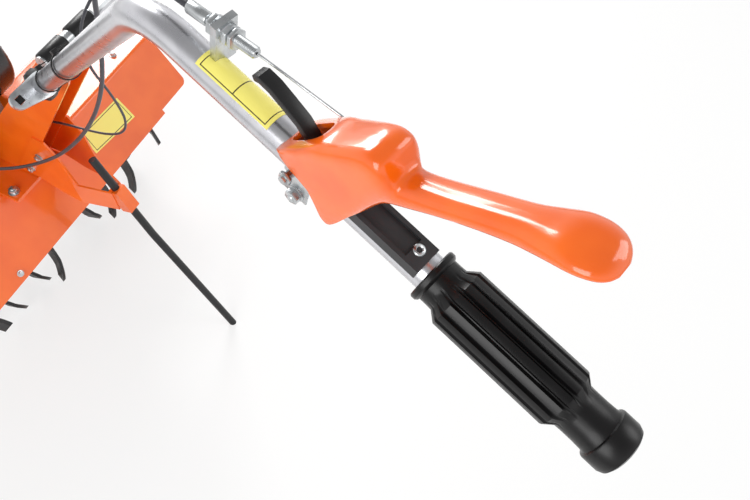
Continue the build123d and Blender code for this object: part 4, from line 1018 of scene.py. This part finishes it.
# %% Cover ribs and heat guard
RIB_PITCH, LOUVRE_PITCH, LOUVRE_ROWS, LOUVRE_COLUMNS = 12, 15.2, 5, 6
shape = bmesh.new()
for step in range(5):
    block(shape, (2.4, 70, 3), (ENGINE_X - 88.6, 8, 458 + RIB_PITCH * step), 0.8)
block(shape, (64, 88, 4), (ENGINE_X - 58, 8, 512), 1.6)
block(shape, (154, 124, 5), (ENGINE_X - 20, 8, 566), 2.2)
make_piece("cover_ribs", shape, "chassis", shroud_plastic)

shape = bmesh.new()
for row in range(LOUVRE_ROWS):
    for column in range(LOUVRE_COLUMNS):
        block(shape, (3, 10, 4), (204.2, LOUVRE_PITCH * column - 30, 456 + RIB_PITCH * row), 1.0)
block(shape, (3, 108, 84), (ENGINE_X + 120.5, 8, 480), 1.2)
rod(shape, 11, (175, 57, 458), (175, 74, 452), 1.0)
make_piece("exhaust_guard", shape, "chassis", exhaust_steel)
print("louvres", LOUVRE_ROWS * LOUVRE_COLUMNS)

# %% [markdown]
# Screws hold the belt cover and the block's flange, a plug stands on the shroud's top, and the oil filler's
# plug leans out at the foot of the block. All are plain small forms, so each takes one line.

# %% Engine screws and oil filler
# Columns: along the machine and up, in mm.
COVER_SCREWS = ((ENGINE_X + 46, 396), (ENGINE_X - 10, 440), (-30, 382), (20, 345))
CRANKCASE_SCREWS = ((30, 346), (30, 414), (134, 346), (134, 414))
shape = bmesh.new()
for x, z in COVER_SCREWS:
    hexagon(shape, 9, 5, (x, 110, z), (0, 1, 0), 0.3)
for x, z in CRANKCASE_SCREWS:
    hexagon(shape, 9, 4, (x, 62, z), (0, 1, 0))
rod(shape, 7.5, (ENGINE_X + 46, 8, 535), (ENGINE_X + 46, 8, 548), 0.6)
make_piece("engine_screws", shape, "chassis", bright_zinc)

FILLER_PLACE, FILLER_WAY = (48, -60, 350), (0, -1, 0.6)
FILLER_PROFILE = ((0, 0), (0, 9), (10, 9), (13, 12), (22, 12), (24, 10), (24, 0))
shape = bmesh.new()
lathe(shape, FILLER_PROFILE, 24, FILLER_WAY, FILLER_PLACE)
make_piece("oil_filler", shape, "chassis", black_plastic)
print("engine screws", len(COVER_SCREWS) + len(CRANKCASE_SCREWS))

# %% [markdown]
# The cables are routed as a fitter would: clipped to the arms, hanging in a loop over the clamp, then in.
# Their points repeat the part's source. A NURBS spline drawn by them gives the soft line of a sprung sleeve,
# and each is made into a mesh tube along it.

# %% Cables
ADJUSTER_REACH = BARREL_AT - FERRULE_AT
CLUTCH_START, CLUTCH_FIRST = GRIP @ FERRULE_AT, GRIP @ (FERRULE_AT - ADJUSTER_REACH * 0.6)
CLUTCH_RADIUS, THROTTLE_RADIUS, WIRE_RADIUS = 2.5, 1.75, 0.9
CLUTCH_PLACES = (
    (-596, 136, 992), (-556, 116, 976), (-515, 95, 945), (-490, 82, 898), (-468, 72, 845), (-446, 65, 788),
    (-424, 61, 728), (-396, 60, 670), (-360, 60, 613), (-316, 60, 557), (-264, 61, 502), (-207, 64, 455),
    (-150, 72, 421), (-104, 80, 403), (-64, 86, 394),
)
THROTTLE_FIRST = ((196, 6, -17.5), (160, 6, -17.5), (112, 5, -18), (60, 6, -18.5))
THROTTLE_PLACES = (
    (-632, -143, 980), (-596, -130, 962), (-560, -117, 929), (-522, -104, 890), (-484, -90, 852),
    (-445, -72, 820), (-408, -44, 797), (-376, -14, 770), (-354, 5, 733), (-341, 10, 692), (-336, 7, 650),
    (-334, -4, 607), (-329, -15, 563), (-326, -20, 523), (-311, -20, 490), (-280, -18, 471), (-240, -14, 465),
    (-198, -10, 463), (-156, -4, 456), (-110, 0, 446), (-56, 0, 423), (-20, 0, 400), (16, 0, 400),
)


def route_curve(name, points, radius):
    """A smooth cord line with those control points, given its thickness."""
    curve = bpy.data.curves.new(name, "CURVE")
    curve.dimensions = "3D"
    curve.resolution_u = 10
    curve.bevel_depth = radius * MM
    curve.bevel_resolution = 4
    curve.use_fill_caps = True
    spline = curve.splines.new("NURBS")
    spline.points.add(len(points) - 1)
    for point, place in zip(spline.points, points):
        point.co = (*place, 1.0)
    spline.order_u = 3
    spline.use_endpoint_u = True
    return curve


def cable(name, points, radius, finish, node):
    """One held cable: a mesh tube along its curve, in place of the CAD node that it hides."""
    curve = route_curve(name, points, radius)
    holder = bpy.data.objects.new(name + "_line", curve)
    depth, curve.bevel_depth = curve.bevel_depth, 0
    line = bpy.data.meshes.new_from_object(holder)
    curve.bevel_depth = depth
    mesh = bpy.data.meshes.new_from_object(holder)
    bpy.data.objects.remove(holder)
    mesh.materials.clear()
    mesh.materials.append(finish)
    piece = bpy.data.objects.new(name, mesh)
    scene.collection.objects.link(piece)
    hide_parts(node)
    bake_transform(piece)


clutch_points = [CLUTCH_START, CLUTCH_FIRST, *(at(*place) for place in CLUTCH_PLACES)]
cable("clutch_sleeve", clutch_points, CLUTCH_RADIUS, cable_sleeve,
      "clutch_cable")
throttle_points = [MIRROR @ (GRIP @ Vector(place)) for place in THROTTLE_FIRST]
throttle_points += [at(*place) for place in THROTTLE_PLACES]
cable("throttle_sleeve", throttle_points, THROTTLE_RADIUS, cable_sleeve,
      "throttle_cable")

# %% [markdown]
# The bare inner wire leaves the adjuster's barrel and pulls the lever by a small zinc nipple, which sits low
# behind the far cheek. It is a short cord of its own.

# %% Inner wire and nipple
NIPPLE, NIPPLE_RADIUS, NIPPLE_INNER, NIPPLE_OUTER = Vector((161.5, 36, -19.8)), 3.0, 4, 1.6
WIRE_START, WIRE_END = GRIP @ BARREL_AT, GRIP @ NIPPLE
WIRE_MIDDLE = GRIP @ (FERRULE_AT + ADJUSTER_REACH * 1.15)
cable("inner_wire", [WIRE_START, WIRE_MIDDLE, WIRE_END], WIRE_RADIUS, bare_wire,
      "clutch_wire")
shape = bmesh.new()
rod(shape, NIPPLE_RADIUS, NIPPLE + Vector((0, 0, NIPPLE_INNER)), NIPPLE - Vector((0, 0, NIPPLE_OUTER)), 0.4)
make_piece("wire_nipple", shape, "clutch_lever", dull_zinc, GRIP)

# %% [markdown]
# The studio's floor is a sweep of white paper. A real one burns out to white behind the object and keeps a
# pale shadow under it. Here the paper glows, but only to the camera, so it lights nothing by itself.

# %% Paper floor
FLOOR_HALF, FLOOR_GLOW = 6.0, 0.68
shape = bmesh.new()
bmesh.ops.create_grid(shape, x_segments=1, y_segments=1, size=FLOOR_HALF)
mesh = bpy.data.meshes.new("floor")
shape.to_mesh(mesh)
shape.free()
floor = bpy.data.objects.new("floor", mesh)
scene.collection.objects.link(floor)

material, tree, _ = new_material("white_paper_sweep")
paper = add_node(tree, "ShaderNodeBsdfPrincipled", {"Base Color": hex_color("#F4F4F3"), "Roughness": 0.9})
glow = add_node(tree, "ShaderNodeEmission", {"Color": (1, 1, 1, 1), "Strength": 1.0})
to_camera = add_node(tree, "ShaderNodeLightPath").outputs["Is Camera Ray"]
share = add_node(tree, "ShaderNodeMath", {0: to_camera, 1: FLOOR_GLOW}, operation="MULTIPLY")
mixed = add_node(tree, "ShaderNodeMixShader", {0: share.outputs[0], 1: paper.outputs[0], 2: glow.outputs[0]})
close_material(tree, {}, mixed)
mesh.materials.append(material)
print("paper", 2 * FLOOR_HALF, "m square")

# %% [markdown]
# The walls are white and the ceiling is darker, because glossy tops that mirror an all-white room go pale.
# One map of height to brightness does for both, and the camera itself sees plain white.

# %% Walls and ceiling
WALL_TOP, CEILING_START, CEILING_LIGHT = 0.25, 0.7, 0.42
world = bpy.data.worlds.new("studio")
scene.world = world
world.use_nodes = True
tree = world.node_tree
tree.nodes.clear()
direction = add_node(tree, "ShaderNodeTexCoord").outputs["Generated"]
height = add_node(tree, "ShaderNodeSeparateXYZ", {"Vector": direction}).outputs["Z"]
reach = {"From Min": WALL_TOP, "From Max": CEILING_START, "To Min": 1.0, "To Max": CEILING_LIGHT}
room = add_node(tree, "ShaderNodeMapRange", {"Value": height, **reach}).outputs[0]
to_camera = add_node(tree, "ShaderNodeLightPath").outputs["Is Camera Ray"]
level = add_node(tree, "ShaderNodeMath", {0: room, 1: to_camera}, operation="MAXIMUM").outputs[0]
back = add_node(tree, "ShaderNodeBackground", {"Color": (1, 1, 1, 1), "Strength": level})
add_node(tree, "ShaderNodeOutputWorld", {"Surface": back.outputs[0]})
print("ceiling at", CEILING_LIGHT, "of the walls' light")

# %% [markdown]
# Four square softboxes stand where the highlights in the photograph ask for them. The front one is what the
# glossy orange top plane mirrors, the low and left ones draw the lever's long highlight, and the rear one
# lifts the dark grip off its shadow.

# %% Lamps
TARGET = at(-80, -190, 328)
# Columns: name, place from the target in m, side in m, and power in W.
SOFTBOXES = (
    ("front_softbox", (1.32, -0.99, 1.78), 0.66, 20),
    ("low_softbox", (1.5, -1.58, 1.23), 1.0, 32),
    ("left_softbox", (-0.6, 2.4, 1.5), 1.4, 26),
    ("rear_softbox", (-2.4, -0.9, 1.6), 1.2, 14),
)
for name, place, size, power in SOFTBOXES:
    data = bpy.data.lights.new(name, "AREA")
    data.size, data.energy = size, power
    lamp = bpy.data.objects.new(name, data)
    lamp.location = TARGET + Vector(place)
    lamp.rotation_euler = (-Vector(place)).to_track_quat("-Z", "Y").to_euler()
    scene.collection.objects.link(lamp)
print("lamps", len(SOFTBOXES), "with", sum(power for *_, power in SOFTBOXES), "W in all")
